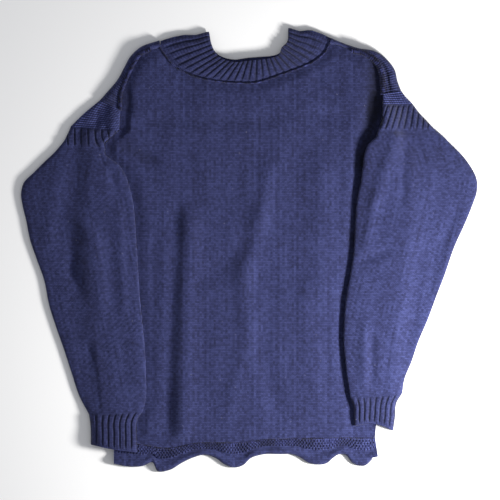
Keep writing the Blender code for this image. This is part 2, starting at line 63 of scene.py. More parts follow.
# %% The camera
VIEW_WIDTH = 825.0
VIEW_CENTRE = (1.65, 0.0)
LENS_HEIGHT = 1.5  # metres above the floor

lens = bpy.data.cameras.new("overhead")
lens.type = "ORTHO"
lens.ortho_scale = VIEW_WIDTH * MM
camera = bpy.data.objects.new("overhead", lens)
camera.location = (VIEW_CENTRE[0] * MM, VIEW_CENTRE[1] * MM, LENS_HEIGHT)
bpy.context.scene.collection.objects.link(camera)
bpy.context.scene.camera = camera

# %% [markdown]
# One broad soft light from the lower right gives the folds their bright and dark sides, and it is
# nearer to the right sleeve, which is the brightest part. A weak even sky fills the shadows.
# A sun could give the direction too, but its light is as strong on the left sleeve as on the right.

# %% Light and colour
KEY_PLACE = (0.80, -0.36, 0.50)
KEY_SIZE = 0.24
KEY_POWER = 24.0
KEY_COLOUR = (1.0, 0.985, 0.96)
AIMED_AT = (-0.05, 0.0, 0.0)
SKY_COLOUR = (0.93, 0.95, 1.0, 1.0)
SKY_STRENGTH = 0.45

key = bpy.data.lights.new("window", "AREA")
key.shape = "DISK"
key.size = KEY_SIZE
key.energy = KEY_POWER
key.color = KEY_COLOUR
window = bpy.data.objects.new("window", key)
window.location = KEY_PLACE
bpy.context.scene.collection.objects.link(window)
aim = bpy.data.objects.new("aim", None)
bpy.context.scene.collection.objects.link(aim)
aim.location = AIMED_AT
track = window.constraints.new("TRACK_TO")
track.target = aim
track.track_axis = "TRACK_NEGATIVE_Z"
track.up_axis = "UP_Y"

sky = bpy.data.worlds.new("sky")
sky.use_nodes = True
sky.node_tree.nodes["Background"].inputs["Color"].default_value = SKY_COLOUR
sky.node_tree.nodes["Background"].inputs["Strength"].default_value = SKY_STRENGTH
bpy.context.scene.world = sky
bpy.context.scene.view_settings.view_transform = "Standard"

# %% [markdown]
# ## Colours and nodes
# Colours are written as on a screen, and one function turns them to the linear values that the
# shader needs. One more adds a node with its settings and links.

# %% Two small helpers for materials
def linear(colour, share=1.0):
    """A colour such as #1c2040 as linear red, green, blue and 1, darker or lighter by share."""
    parts = [int(colour[i:i + 2], 16) / 255 for i in (1, 3, 5)]
    plain = [c / 12.92 if c <= 0.04045 else ((c + 0.055) / 1.055) ** 2.4 for c in parts]
    return (*(c * share for c in plain), 1.0)


def add(tree, kind, settings=None, **inputs):
    """A node of that kind. An input is a value or another node's output; i0, i1 are inputs by place."""
    node = tree.nodes.new(kind)
    for name, value in (settings or {}).items():
        setattr(node, name, value)
    for name, value in inputs.items():
        place = int(name[1:]) if name[1:].isdigit() else name.replace("_", " ")
        socket = node.inputs[place]
        if isinstance(value, bpy.types.NodeSocket):
            tree.links.new(value, socket)
        else:
            socket.default_value = value
    return node.outputs[0] if len(node.outputs) == 1 else node


def chain(tree, first, *steps):
    """A value taken through steps of arithmetic, each an operation and what it works with."""
    value = first
    for operation, *others in steps:
        inputs = {f"i{k + 1}": other for k, other in enumerate(others)}
        value = add(tree, "ShaderNodeMath", {"operation": operation}, i0=value, **inputs)
    return value

# %% [markdown]
# ## Worsted wool
# The yarn is a navy worsted: long combed fibres, tightly spun, with a dry, faintly heathered surface
# and a soft sheen where fibres stand off it. Stocking stitch shows columns of small Vs. They are drawn
# by arithmetic on the piece's own map, which is in metres, so that they follow the cloth, as painted
# shade between the stitches and a painted highlight on their faces.
# Each stitch is a little lighter or darker than its neighbours, as in the real yarn. Stitches could be
# modelled one by one, but tens of thousands of them would be far too heavy for so fine a pattern.

# %% The colours of the wool
DARK_NAVY_AND_SHADE = "#090a1b"  # painted shade between the stitches, and the darkest random tone of the yarn
NAVY = "#272b55"  # the face of the stitches
PALE_NAVY_AND_HIGHLIGHT = "#414879"  # painted highlight on stitch faces and loose fibres, and the palest random tone of the yarn
# How much each thing lightens the face of the wool, and what is taken off their sum
STITCH_PART, LOT_PART, COLUMN_PART, CLOUD_PART, FIBRE_PART = 0.85, 0.30, 0.12, 0.10, 0.30
FACE_LESS = 0.38
WAVER_SCALE, WAVER_REACH = 90.0, 0.0016  # how the lines of stitches wander
CLOUD_SCALE, FIBRE_SCALE = 14.0, 620.0
# painted shade: how far the colour is darkened in sunk stitches, ridge valleys and deep folds
PAINTED_GROOVE_SHADE = 0.6
STITCH_DEPTH = 0.9  # how deep the bump of a stitch is, in millimetres


def worsted(name, pattern, wale=WALE, row=ROW, painted_lightness=1.0, relief=0.7):
    """Navy worsted wool whose map is drawn as stocking, garter or plain yarn."""
    material = bpy.data.materials.new(name)
    material.use_nodes = True
    tree = material.node_tree
    tree.nodes.clear()
    own = add(tree, "ShaderNodeTexCoord")
    waver = add(tree, "ShaderNodeTexNoise", {"noise_dimensions": "3D"},
                Vector=own.outputs["Object"], Scale=WAVER_SCALE, Detail=2.0)
    shift = chain(tree, waver.outputs["Fac"], ("SUBTRACT", 0.5), ("MULTIPLY", WAVER_REACH))
    split = add(tree, "ShaderNodeSeparateXYZ", Vector=own.outputs["UV"])
    across = chain(tree, split.outputs["X"], ("ADD", shift), ("DIVIDE", wale * MM))
    up = chain(tree, split.outputs["Y"], ("ADD", shift), ("DIVIDE", row * MM))
    column = chain(tree, across, ("FLOOR",))
    from_middle = chain(tree, across, ("FRACT",), ("SUBTRACT", 0.5), ("ABSOLUTE",))
    if pattern == "stocking":
        leg = chain(tree, from_middle, ("SUBTRACT", 0.25), ("MULTIPLY", 4.0), ("POWER", 2.0))
        slant = chain(tree, from_middle, ("MULTIPLY", 1.3), ("ADD", up))
    else:
        leg = chain(tree, from_middle, ("MULTIPLY", 2.0), ("POWER", 2.0), ("MULTIPLY", 0.45))
        slant = up
    round_leg = chain(tree, 1.0, ("SUBTRACT", leg))
    cell = chain(tree, slant, ("FLOOR",))
    along_leg = chain(tree, slant, ("FRACT",), ("SUBTRACT", 0.5), ("MULTIPLY", 2.0), ("POWER", 2.0))
    round_end = chain(tree, 1.0, ("SUBTRACT", along_leg), ("MULTIPLY", 0.5), ("ADD", 0.5))
    stitch = chain(tree, round_leg, ("MULTIPLY", round_end))
    if pattern == "yarn":
        ply = chain(tree, split.outputs["Y"], ("DIVIDE", row * MM), ("ADD", across), ("FRACT",),
                    ("SUBTRACT", 0.5), ("ABSOLUTE",), ("MULTIPLY", 2.0))
        stitch = chain(tree, 1.0, ("SUBTRACT", ply))
    place = add(tree, "ShaderNodeCombineXYZ", X=column, Y=cell)
    lot = add(tree, "ShaderNodeTexWhiteNoise", {"noise_dimensions": "2D"}, Vector=place)
    line = add(tree, "ShaderNodeTexWhiteNoise", {"noise_dimensions": "1D"}, W=column)
    cloud = add(tree, "ShaderNodeTexNoise", Vector=own.outputs["Object"], Scale=CLOUD_SCALE, Detail=3.0)
    fibre = add(tree, "ShaderNodeTexNoise", Vector=own.outputs["Object"], Scale=FIBRE_SCALE, Detail=3.0)
    face = chain(tree, stitch, ("MULTIPLY", STITCH_PART))
    for source, part in ((lot.outputs["Value"], LOT_PART), (line.outputs["Value"], COLUMN_PART),
                         (cloud.outputs["Fac"], CLOUD_PART), (fibre.outputs["Fac"], FIBRE_PART)):
        face = chain(tree, face, ("ADD", chain(tree, source, ("MULTIPLY", part))))
    face = chain(tree, face, ("SUBTRACT", FACE_LESS))
    # The ramp paints shade between the stitches and a highlight on their faces and loose fibres; the lot,
    # column and cloud values are the yarn's own random tone.
    ramp = add(tree, "ShaderNodeValToRGB", Fac=face)
    stops = ramp.color_ramp.elements
    stops[0].position, stops[0].color = 0.05, linear(DARK_NAVY_AND_SHADE, painted_lightness)
    stops[1].position, stops[1].color = 0.95, linear(PALE_NAVY_AND_HIGHLIGHT, painted_lightness)
    middle = stops.new(0.55)
    middle.color = linear(NAVY, painted_lightness)
    # Painted shade: the wool's colour is darkened by the value that each piece carries for its sunk stitches
    # and deep folds.
    painted_shade = add(tree, "ShaderNodeAttribute", {"attribute_name": "painted_shade", "attribute_type": "GEOMETRY"})
    dark = chain(tree, painted_shade.outputs["Fac"], ("MULTIPLY", -PAINTED_GROOVE_SHADE), ("ADD", 1.0))
    shaded = add(tree, "ShaderNodeVectorMath", {"operation": "SCALE"},
                 i0=ramp.outputs["Color"], Scale=dark)
    height = chain(tree, fibre.outputs["Fac"], ("MULTIPLY", 0.25), ("ADD", stitch))
    bump = add(tree, "ShaderNodeBump", Strength=relief, Distance=STITCH_DEPTH * MM, Height=height)
    shader = add(tree, "ShaderNodeBsdfPrincipled", Base_Color=shaded.outputs["Vector"], Normal=bump,
                 Roughness=0.88, Sheen_Weight=0.12, Sheen_Roughness=0.45, IOR=1.45,
                 Specular_IOR_Level=0.25)
    add(tree, "ShaderNodeOutputMaterial", Surface=shader)
    return material


# Lighter copies of the same navy for the garter ridges, straps, moss and corded seam are a painted highlight
# on raised stitches, and the back's darker copy is painted shade.
WOOLS = {
    "plain": worsted("worsted_stocking_stitch", "stocking"),
    "back": worsted("worsted_stocking_stitch_back", "stocking", painted_lightness=0.95),
    "ribbed": worsted("worsted_two_by_two_rib", "stocking"),
    "ridged": worsted("worsted_garter_stitch", "garter", row=3.6, painted_lightness=1.2),
    "strap": worsted("worsted_shoulder_strap", "stocking", painted_lightness=1.1),
    "moss": worsted("worsted_moss_stitch", "garter", painted_lightness=1.05),
    "cord": worsted("worsted_corded_seam", "yarn", wale=1.1, row=1.6, painted_lightness=1.45),
}
print("materials:", ", ".join(sorted(m.name for m in WOOLS.values())))

# %% [markdown]
# ## Lines and grids
# A knitted piece is a sheet between edges. The edges are smooth curves through a few measured
# places, so the helpers here make a smooth line through points, take places along it, and move it
# sideways.

# %% Smooth lines
def flowing(points, step):
    """A smooth line through the points, with a place about every step millimetres."""
    points = np.array(points, float)
    stretch = np.linalg.norm(np.diff(points, axis=0), axis=1)
    reach = np.concatenate([[0], np.cumsum(stretch)])
    slope = np.diff(points, axis=0) / stretch[:, None]
    blend = (slope[1:] * stretch[:-1, None] + slope[:-1] * stretch[1:, None])
    blend /= (stretch[1:] + stretch[:-1])[:, None]
    tangent = np.vstack([slope[:1], blend, slope[-1:]])
    at = np.linspace(0, reach[-1], max(2, round(reach[-1] / step) + 1))
    i = np.clip(np.searchsorted(reach, at, side="right") - 1, 0, len(points) - 2)
    h = stretch[i]
    t = ((at - reach[i]) / h)[:, None]
    h = h[:, None]
    return ((2 * t**3 - 3 * t**2 + 1) * points[i] + (t**3 - 2 * t**2 + t) * h * tangent[i]
            + (3 * t**2 - 2 * t**3) * points[i + 1] + (t**3 - t**2) * h * tangent[i + 1])


def smooth(value):
    """0 below 0, 1 above 1, with a soft start and end."""
    value = np.clip(value, 0.0, 1.0)
    return value * value * (3 - 2 * value)


def along(points, share):
    """The places at those shares of the length of a line."""
    points = np.array(points, float)
    step = np.linalg.norm(np.diff(points, axis=0), axis=1)
    reach = np.concatenate([[0], np.cumsum(step)]) / step.sum()
    return np.stack([np.interp(share, reach, points[:, k]) for k in range(points.shape[1])], axis=-1)


def shifted(points, distance):
    """The line moved to its left by that distance."""
    points = np.array(points, float)
    step = np.gradient(points, axis=0)
    step /= np.linalg.norm(step, axis=1)[:, None]
    return points + np.stack([-step[:, 1], step[:, 0]], axis=1) * distance


def length_of(points):
    """How long a line is."""
    return float(np.linalg.norm(np.diff(np.array(points, float), axis=0), axis=1).sum())

# %% [markdown]
# Cloth that has lain folded is never even. Each fold is a soft ridge or trough between two given places,
# and a few long waves stand for all the small unevenness.

# %% Folds
def fold_height(x, y, folds):
    """The height that the folds add at each place: x and y of both ends, half width, height."""
    total = np.zeros(np.shape(x))
    for x0, y0, x1, y1, width, height in folds:
        run, rise = x1 - x0, y1 - y0
        length = math.hypot(run, rise)
        share = ((x - x0) * run + (y - y0) * rise) / length**2
        aside = ((x - x0) * rise - (y - y0) * run) / length
        beyond = np.maximum(np.maximum(-share, share - 1), 0) * length
        total = total + height * np.exp(-((aside / width) ** 2) - (beyond / (1.6 * width)) ** 2)
    return total


def unevenness(x, y):
    """Low waves of a millimetre or less, longer along the wales than across them."""
    return (0.55 * np.sin(x / 11.3 + 1.4 * np.sin(y / 57.0)) * np.sin(y / 43.0 + x / 61.0)
            + 0.45 * np.sin(x / 19.7 - y / 71.0 + 2.0) + 0.35 * np.sin(y / 15.1 + np.sin(x / 31.0))
            + 0.22 * np.sin(x / 5.3 + np.sin(y / 23.0)) * np.sin(y / 31.0 + 1.0))

# %% [markdown]
# ## From places to cloth
# A piece is built from loops of points: the outside all round, and the same loop inside by the
# thickness of the cloth. Solidify could give the thickness too, but loops let the inside lie flat.
# The map of each piece is kept in metres of cloth, across and along the wales.

# %% Shells from loops
SHARP_FROM = 62  # degrees between two faces from which their edge stays sharp


def skin(count, size, first, flip):
    """Faces between closed loops of points, the first of which has that index."""
    i, j = np.meshgrid(np.arange(count - 1), np.arange(size), indexing="ij")
    a, b = first + i * size + j, first + i * size + (j + 1) % size
    faces = np.stack([a, b, b + size, a + size], axis=-1).reshape(-1, 4)
    return faces[:, ::-1] if flip else faces


def add_shell(name, points, faces, cloth, painted_shade, wool):
    """A closed piece of cloth from points in millimetres, with its map and its painted shade in rib hollows
    and deep folds.
    """
    mesh = bpy.data.meshes.new(name)
    mesh.from_pydata((points * MM).tolist(), [], faces.tolist())
    form = bmesh.new()
    form.from_mesh(mesh)
    bmesh.ops.recalc_face_normals(form, faces=form.faces)
    form.to_mesh(mesh)
    form.free()
    corner = np.empty(len(mesh.loops), int)
    mesh.loops.foreach_get("vertex_index", corner)
    layer = mesh.uv_layers.new(name="cloth")
    layer.data.foreach_set("uv", (cloth * MM)[corner].astype(np.float32).ravel())
    depth = mesh.attributes.new("painted_shade", "FLOAT", "POINT")
    depth.data.foreach_set("value", painted_shade.astype(np.float32))
    mesh.shade_smooth()
    mesh.set_sharp_from_angle(angle=math.radians(SHARP_FROM))
    mesh.materials.append(WOOLS[wool])
    piece = bpy.data.objects.new(name, mesh)
    bpy.context.scene.collection.objects.link(piece)
    return piece


def add_sheet_shell(name, plan, over, under, cloth, painted_shade, wool):
    """A wall over a grid of places, between the heights of its upper side and its underside."""
    rows, columns = plan.shape[:2]
    upper = np.dstack([plan, np.broadcast_to(over, (rows, columns))])
    lower = np.dstack([plan, np.broadcast_to(under, (rows, columns))])[:, ::-1]
    size = 2 * columns
    faces = [skin(rows, size, 0, False)]
    j = np.arange(columns - 1)
    for start, flip in ((0, True), ((rows - 1) * size, False)):
        end = np.stack([start + j, start + j + 1, start + size - 2 - j, start + size - 1 - j], axis=-1)
        faces.append(end[:, ::-1] if flip else end)
    points = np.concatenate([upper, lower], axis=1).reshape(-1, 3)
    twice = np.concatenate([cloth, cloth[:, ::-1]], axis=1).reshape(-1, 2)
    depth = np.broadcast_to(painted_shade, (rows, columns))
    depth = np.concatenate([depth, depth[:, ::-1]], axis=1).reshape(-1)
    return add_shell(name, points, np.concatenate(faces), twice, depth, wool)


def add_tube_shell(name, outer, inner, cloth, painted_shade, wool):
    """A wall between outer and inner loops, open at both ends."""
    rows, size = outer.shape[:2]
    start = rows * size
    faces = [skin(rows, size, 0, False), skin(rows, size, start, True)]
    j = np.arange(size)
    k = (j + 1) % size
    for a, b, flip in ((0, start, True), (start - size, 2 * start - size, False)):
        end = np.stack([a + j, a + k, b + k, b + j], axis=-1)
        faces.append(end[:, ::-1] if flip else end)
    points = np.concatenate([outer.reshape(-1, 3), inner.reshape(-1, 3)])
    return add_shell(name, points, np.concatenate(faces), np.tile(cloth.reshape(-1, 2), (2, 1)),
                     np.tile(painted_shade.reshape(-1), 2), wool)

# %% [markdown]
# ## The front and the back
# A fisherman's sweater is knitted in the round up to the armholes, so the body has no side seams: the
# front and the back turn into each other at a fold. The front carries the folds of the photograph.
# The grid runs from the hem to the shoulder ropes and the neck, and between the two sides.

# %% The lines of the body
ROPE_LEFT = ((-212, 232), (-211, 257), (-203, 280), (-191, 305), (-180, 322), (-163, 330), (-146, 334))
NECK_BASE = (
    (-136, 319), (-124, 305), (-106, 294), (-82, 285), (-59, 280), (-33, 277), (-7, 276), (13, 277),
    (33, 283), (58, 292), (86, 302), (107, 312), (125, 327), (132, 340),
)
ROPE_RIGHT = ((143, 339), (170, 329), (196, 321), (212, 306), (218.5, 288), (220, 272), (220.5, 258))
BODY_SIDES = (
    (-223, -318, 208, -309), (-229, -235, 216, -223.4), (-236, -148, 224.5, -133.7),
    (-243, -65, 235, -48.2), (-249, 16, 244, 35.3), (-246, 80, 246, 101.3), (-241, 125, 236, 147.7),
    (-238, 150, 222, 173.5), (-237, 163, 209.5, 186.9), (-237, 176, 213.5, 200.3),
    (-226, 187, 219.3, 211.6), (-213, 198, 219.9, 222.9), (-212.5, 215, 219.9, 240.5),
    (-212.2, 224, 220.2, 249.8), (-212, 232, 220.5, 258),
)
HEM = (
    (-223, -318, -353), (-191, -318, -358), (-173, -321, -356), (-159, -323, -350), (-150, -325, -365),
    (-130, -326, -363), (-109, -322, -351), (-89, -318, -342), (-71, -317, -338), (-56, -317, -342),
    (-36, -317, -355), (-25, -317, -359), (-7, -316, -355), (5, -315, -344), (23, -312, -338),
    (58, -311, -337), (73, -310, -337), (87, -310, -342), (102, -310, -351), (134, -309, -351),
    (142, -309, -344), (154, -309, -337), (163, -309, -338), (175, -309, -351), (196, -309, -356),
    (208, -309, -346),
)
SIDES = np.array(BODY_SIDES, float)


def hem_line(x, column):
    """y of the hem's top line (1) or lower edge (2) at x."""
    table = flowing(HEM, 2.0)
    return np.interp(x, table[:, 0], table[:, column])


def body_plan(rows, columns):
    """Grid of places between the hem, the sides and the top line."""
    line = np.concatenate([flowing(part, 2.0) for part in (ROPE_LEFT, NECK_BASE, ROPE_RIGHT)])
    top = along(line, np.linspace(0, 1, columns))
    x = np.linspace(SIDES[0, 0], SIDES[0, 2], columns)
    bottom = np.column_stack([x, hem_line(x, 1)])
    bottom[[0, -1], 1] = SIDES[0, 1], SIDES[0, 3]

    def share_of_width(places):
        left = np.interp(places[:, 1], SIDES[:, 1], SIDES[:, 0])
        right = np.interp(places[:, 1], SIDES[:, 3], SIDES[:, 2])
        return (places[:, 0] - left) / (right - left)

    low, high = share_of_width(bottom), share_of_width(top)
    plan = []
    for t in np.linspace(0, 1, rows):
        y = (1 - t) * bottom[:, 1] + t * top[:, 1]
        left = np.interp(y, SIDES[:, 1], SIDES[:, 0])
        right = np.interp(y, SIDES[:, 3], SIDES[:, 2])
        plan.append(np.column_stack([left + ((1 - t) * low + t * high) * (right - left), y]))
    return np.array(plan)

# %% [markdown]
# The sleeves and the folds of the body are needed before the front is made, because the front sinks
# where a sleeve lies on it.

# %% The lines of the sleeves: left x, left y, right x, right y for each section
HEAD_LEFT = ((-246, 247, -212, 232), (-272, 225.5, -213.2, 215), (-294, 204, -213.8, 198.6))
BAND_LEFT = (
    HEAD_LEFT[-1], (-300, 190, -226.9, 187), (-306, 179, -237.8, 176.5), (-313.5, 169.5, -237.9, 167),
)
SLEEVE_LEFT = (
    BAND_LEFT[-1], (-321, 161, -238.2, 159.5), (-335, 148, -229, 151), (-355, 128, -214, 140),
    (-371, 112, -204, 124), (-376, 95, -197, 104), (-374, 75, -191, 76), (-368, 50, -188, 50),
    (-361, 16, -186, 18), (-350, -16, -184, -16), (-338, -50, -182, -50), (-330, -90, -179, -90),
    (-318, -128, -175, -128), (-305, -165, -172, -165), (-292, -205, -170, -205),
    (-279, -243, -170, -243), (-264, -271, -175, -266),
)
CUFF_LEFT = (SLEEVE_LEFT[-1], (-262, -286, -184, -281), (-261, -304, -185, -308), (-261, -321, -185, -334))
HEAD_RIGHT = ((220.5, 258, 251, 263), (220.8, 249.5, 260, 251), (220.5, 240.5, 270, 241))
BAND_RIGHT = (
    HEAD_RIGHT[-1], (220.5, 223, 283, 224), (219.9, 211.6, 294, 212.5), (214.1, 200.3, 304, 202),
    (212.6, 195, 309, 197),
)
SLEEVE_RIGHT = (
    BAND_RIGHT[-1], (210.3, 187.5, 320, 188), (198, 176, 333, 175), (191, 160, 353, 155),
    (188, 140, 367, 136), (185, 115, 376, 116), (180, 92, 376, 96), (177, 70, 368, 72),
    (175, 40, 357, 45), (173, 0, 339, 5), (167, -41, 323, -41), (160, -80, 308, -80),
    (157, -115, 295, -115), (156, -150, 280, -150), (159, -185, 268, -185), (162, -212, 257, -212),
    (167, -243, 253, -236),
)
CUFF_RIGHT = (SLEEVE_RIGHT[-1], (173, -260, 243, -254), (173, -275, 241, -277), (174, -290, 238, -298))

# %% The folds of the front
BODY_FOLDS = (
    (-98, 40, -110, -310, 18, 6.0),
    (-120, 60, -134, -290, 12, -3.6),
    (-158, 10, -162, -240, 14, -3.2),
    (32, 125, 18, 50, 14, 3.2),
    (18, 50, -8, -40, 16, 4.2),
    (-8, -40, -8, -120, 16, 3.2),
    (0, 15, -80, -55, 14, -2.2),
    (2, -130, -28, -250, 16, 3.2),
    (22, -170, 50, -265, 15, -2.4),
    (-160, 214, 34, 214, 13, -2.2),
    (-203, 262, -200, 236, 7, -4.6),
    (-200, 170, -168, 152, 10, -4.2),
    (120, 222, 146, 218, 13, -3.0),
    (112, 300, 116, 285, 9, -2.6),
    (120, 120, 118, -60, 24, 3.8),
    (96, -80, 108, -260, 17, 3.2),
)
BODY_PUFF = 4.6  # how far the front stands off the back in the middle
BODY_LEAST = 0.3  # the least that it stands off
CALM = 20  # width beside an edge or a sleeve over which the front settles down
PAINTED_SHADE_MOST, DEPTH_PRESS = 1.25, 0.8  # the most painted shade, and how far the shade's depth presses the folds down
# Where the cloth sinks deep beside a raised edge and hardly any light gets in: painted shade that darkens the
# wool there and presses the front down, in the same form as the folds above
HOLLOWS_WITH_PAINTED_SHADE = (
    (207, 296, 207, 236, 15, 1.0),
    (207, 236, 188, 150, 12, 0.9),
    (188, 150, 172, 20, 8, 0.6),
    (172, 20, 157, -190, 5, 0.5),
    (-205, 262, -201, 238, 7, 0.65),
    (-200, 169, -168, 152, 9, 0.5),
    (-150, 214, 34, 214, 10, 0.12),
)


def inner_edge(rows, y, column):
    """The x of the sleeve's left (0) or right (2) edge at that height on the plan."""
    table = np.array(sorted((row[column + 1], row[column]) for row in rows))
    return np.interp(y, table[:, 0], table[:, 1])


def body_relief(plan):
    """How far the front stands above two flat layers."""
    x, y = plan[..., 0], plan[..., 1]
    left_sleeve = HEAD_LEFT[:-1] + BAND_LEFT[:-1] + SLEEVE_LEFT[:-1] + CUFF_LEFT
    right_sleeve = HEAD_RIGHT[:-1] + BAND_RIGHT[:-1] + SLEEVE_RIGHT[:-1] + CUFF_RIGHT
    clear = np.minimum(x - inner_edge(left_sleeve, y, 2), inner_edge(right_sleeve, y, 0) - x)
    rim = np.concatenate([plan[0, ::4], plan[-1, ::4], plan[::4, 0], plan[::4, -1]])
    edge = np.full(x.shape, 1e9)
    for px, py in rim:
        edge = np.minimum(edge, (x - px) ** 2 + (y - py) ** 2)
    relief = BODY_PUFF + fold_height(x, y, BODY_FOLDS) + unevenness(x, y)
    return np.maximum(relief, BODY_LEAST) * smooth((clear - 1) / CALM) * smooth(np.sqrt(edge) / CALM)

# %% [markdown]
# The front is made as a wall that stands off the back. The back is the same plan lying flat. A cloth
# simulation could drop the folds into it, but folds given one by one lie where the photograph shows them.

# %% Make the front and the back
ROWS, COLUMNS = 190, 150
plan = body_plan(ROWS, COLUMNS)
relief = body_relief(plan)
# Painted shade in the deep folds beside the sleeves and shoulders, which also presses the front down there
depth = np.clip(fold_height(plan[..., 0], plan[..., 1], HOLLOWS_WITH_PAINTED_SHADE), 0.0, PAINTED_SHADE_MOST)
relief = relief * (1 - DEPTH_PRESS * np.clip(depth, 0.0, 1.0))
front_panel = add_sheet_shell("front_cloth", plan, FLAT + relief, FLAT + relief - WALL, plan, depth, "plain")
back_plan = body_plan(90, 80)
back_panel = add_sheet_shell("back_cloth", back_plan, WALL, 0.0, back_plan, np.zeros(back_plan.shape[:2]),
                             "back")
print("front stands", round(float(relief.max() + FLAT), 1), "mm at its highest fold")

# %% [markdown]
# ## The sleeves
# Each sleeve is a tube pressed flat, with soft folds at both edges. It climbs from the floor onto the
# body's edge. Head, ribs, sleeve and cuff are four tubes end to end, so the same two helpers make them.
# One tube for a whole sleeve would need fewer points, but each part has a knit and a width of its own.

# %% How a sleeve climbs onto the body
CLIMB = 14.0
CLIMB_CLEAR = 3.0
HEM_RISE = 3.0
HEM_NEAR = -288.0
DRAPE = 34.0  # the upper side climbs over a longer way than the underside


def inside_body(x, y):
    """How far inside the body's edge a place is."""
    left = [np.interp(y - down, SIDES[:, 1], SIDES[:, 0]) for down in (0.0, 13.0)]
    right = [np.interp(y - down, SIDES[:, 3], SIDES[:, 2]) for down in (0.0, 13.0)]
    return np.minimum(x - np.minimum(*left), np.maximum(*right) - x)


def lies_at(x, y, reach=CLIMB, clear=CLIMB_CLEAR):
    """How high a sleeve's underside lies: on the floor, or on the body past its side."""
    share = (inside_body(x, y) + clear + reach) / reach
    return (FLAT + REST + HEM_RISE * smooth((HEM_NEAR - y) / 25)) * smooth(share)


def shares(columns):
    """Shares of a width, closer together at the folded edges."""
    even = np.linspace(0, 1, columns)
    return 0.45 * even + 0.55 * (0.5 - 0.5 * np.cos(np.pi * even))


EDGE_ROUND = 8.0
EDGE_TOP, EDGE_SWELL, EDGE_UNDER = 0.66, 0.34, 0.28  # heights at a folded edge, shares of FLAT
FLAP = 24  # width beside an edge over which the folds fade out
SAG_LENGTH = 40  # length before an end over which it sags
STANDS = 0.9  # how much of an edge's lift its underside shares
DRAPE_CLEAR = 12
ON_TO_THE_BODY = 42.0  # way down from the shoulder over which a sleeve rises onto the body
FULLNESS = ((0, 1.5), (60, 2.2), (130, 6.5), (230, 5.5), (420, 4.2), (480, 3.0))


def fullness(down):
    """How far a sleeve puffs up in its middle, by the way down from the shoulder."""
    return float(np.interp(down, [row[0] for row in FULLNESS], [row[1] for row in FULLNESS]))


def flattened(rows, columns, puff, folds, raised, lift, start, sag=0.0):
    """Loops of a flattened tube, its map and its painted shade.

    puff(down) is how full it is and start where it begins, both by the way down from the shoulder.
    raised(share, reach, places) gives ribs or ridges and the painted shade between them, and lift how far an
    edge of the tube stands up.
    """
    share = shares(columns)
    middle = rows.reshape(-1, 2, 2).mean(1)
    reach = np.concatenate([[0], np.cumsum(np.linalg.norm(np.diff(middle, axis=0), axis=1))])
    outer, inner, cloth, painted_shades = [], [], [], []
    for i, row in enumerate(rows):
        width = np.linalg.norm(row[2:] - row[:2])
        places = row[:2] + share[:, None] * (row[2:] - row[:2])
        tucked = row[:2] + (WALL / width + share * (1 - 2 * WALL / width))[:, None] * (row[2:] - row[:2])
        near_end = smooth(1 - (reach[-1] - reach[i]) / SAG_LENGTH) if sag else 0.0
        places[:, 1] -= sag * near_end * np.sin(np.pi * share)
        tucked[:, 1] -= sag * near_end * np.sin(np.pi * share)
        distance = np.minimum(share, 1 - share) * width
        curve = np.sqrt(1 - (1 - np.clip(distance / EDGE_ROUND, 0, 1)) ** 2)
        flap = smooth(distance / FLAP)
        down = start + reach[i]
        gently = smooth(down / ON_TO_THE_BODY)
        low = lies_at(*places.T) * gently
        high = lies_at(*places.T, DRAPE, CLIMB_CLEAR + DRAPE_CLEAR) * gently
        crown = puff(down) * np.clip(4 * share * (1 - share), 0, 1) ** 0.7
        rise = np.maximum(crown + (fold_height(*places.T, folds) + unevenness(*places.T)) * flap, 0.0)
        up, depth = raised(share, reach[i], places) if raised else (0.0, np.zeros(columns))
        stand = lift(share, places)
        high = np.maximum(high, low) + stand
        top = high + FLAT * (EDGE_TOP + EDGE_SWELL * curve) + rise + up * curve
        bottom = low + stand * STANDS + EDGE_UNDER * FLAT * (1 - curve)
        floor = low + stand * STANDS + WALL
        roof = np.maximum(top - WALL, floor + GAP)
        outer.append(np.vstack([np.column_stack([places, top]), np.column_stack([places, bottom])[::-1]]))
        inner.append(np.vstack([np.column_stack([tucked, roof]), np.column_stack([tucked, floor])[::-1]]))
        flat = np.column_stack([(share - 0.5) * width, np.full(columns, -reach[i])])
        cloth.append(np.vstack([flat, flat[::-1]]))
        painted_shades.append(np.concatenate([depth, depth[::-1]]))
    return np.array(outer), np.array(inner), np.array(cloth), np.array(painted_shades)

# %% [markdown]
# Two-by-two ribs are pairs of knit columns with pairs of purl columns sunk between them. Garter ridges
# are rows of purl bumps across the piece. A bump in the material could draw both, but they are deep
# enough to show at the edges, so they are raised in the cloth itself.

# %% Ribs and ridges
RIB_HEIGHT = 1.9
GROOVE = 1.5  # half width of the sunk part of a rib
LEFT_RIB_PITCH = 11.2
RIGHT_RIB_PITCH = 8.6
RIDGE_PITCH = 3.6
RIDGE_HEIGHT = 1.1


def ribbed(turn_at, pitch, length):
    """Ribs along a tube, fading in at the ends of its length. turn_at(share, places) counts them."""
    def height(share, reach, places):
        turn = turn_at(share, places) % 1.0
        aside = np.minimum(turn, 1 - turn) * pitch
        sunk = np.exp(-((aside / GROOVE) ** 2))
        fade = smooth(reach / 6) * smooth((length - reach) / 9 + (0.6 if length > 60 else 0.0))
        # the second value is painted shade in the sunk purl columns
        return RIB_HEIGHT * fade * (1 - sunk), sunk * fade
    return height


def left_band_ribs(share, places):
    """The left sleeve's ribs hang straight down, and those near the armhole swing inwards."""
    x, y = places.T
    swing = 13.0 * smooth((x + 268) / 26) * smooth((192 - y) / 40)
    return (x - swing + 8.0) / LEFT_RIB_PITCH


def right_band_ribs(share, places):
    """The right sleeve's ribs lean towards the body on their way down."""
    x, y = places.T
    lean = (15.0 - 11.0 * np.clip((x - 225) / 60, 0.0, 1.0)) * (241 - y) / 46
    return (x + lean + 3.0) / RIGHT_RIB_PITCH


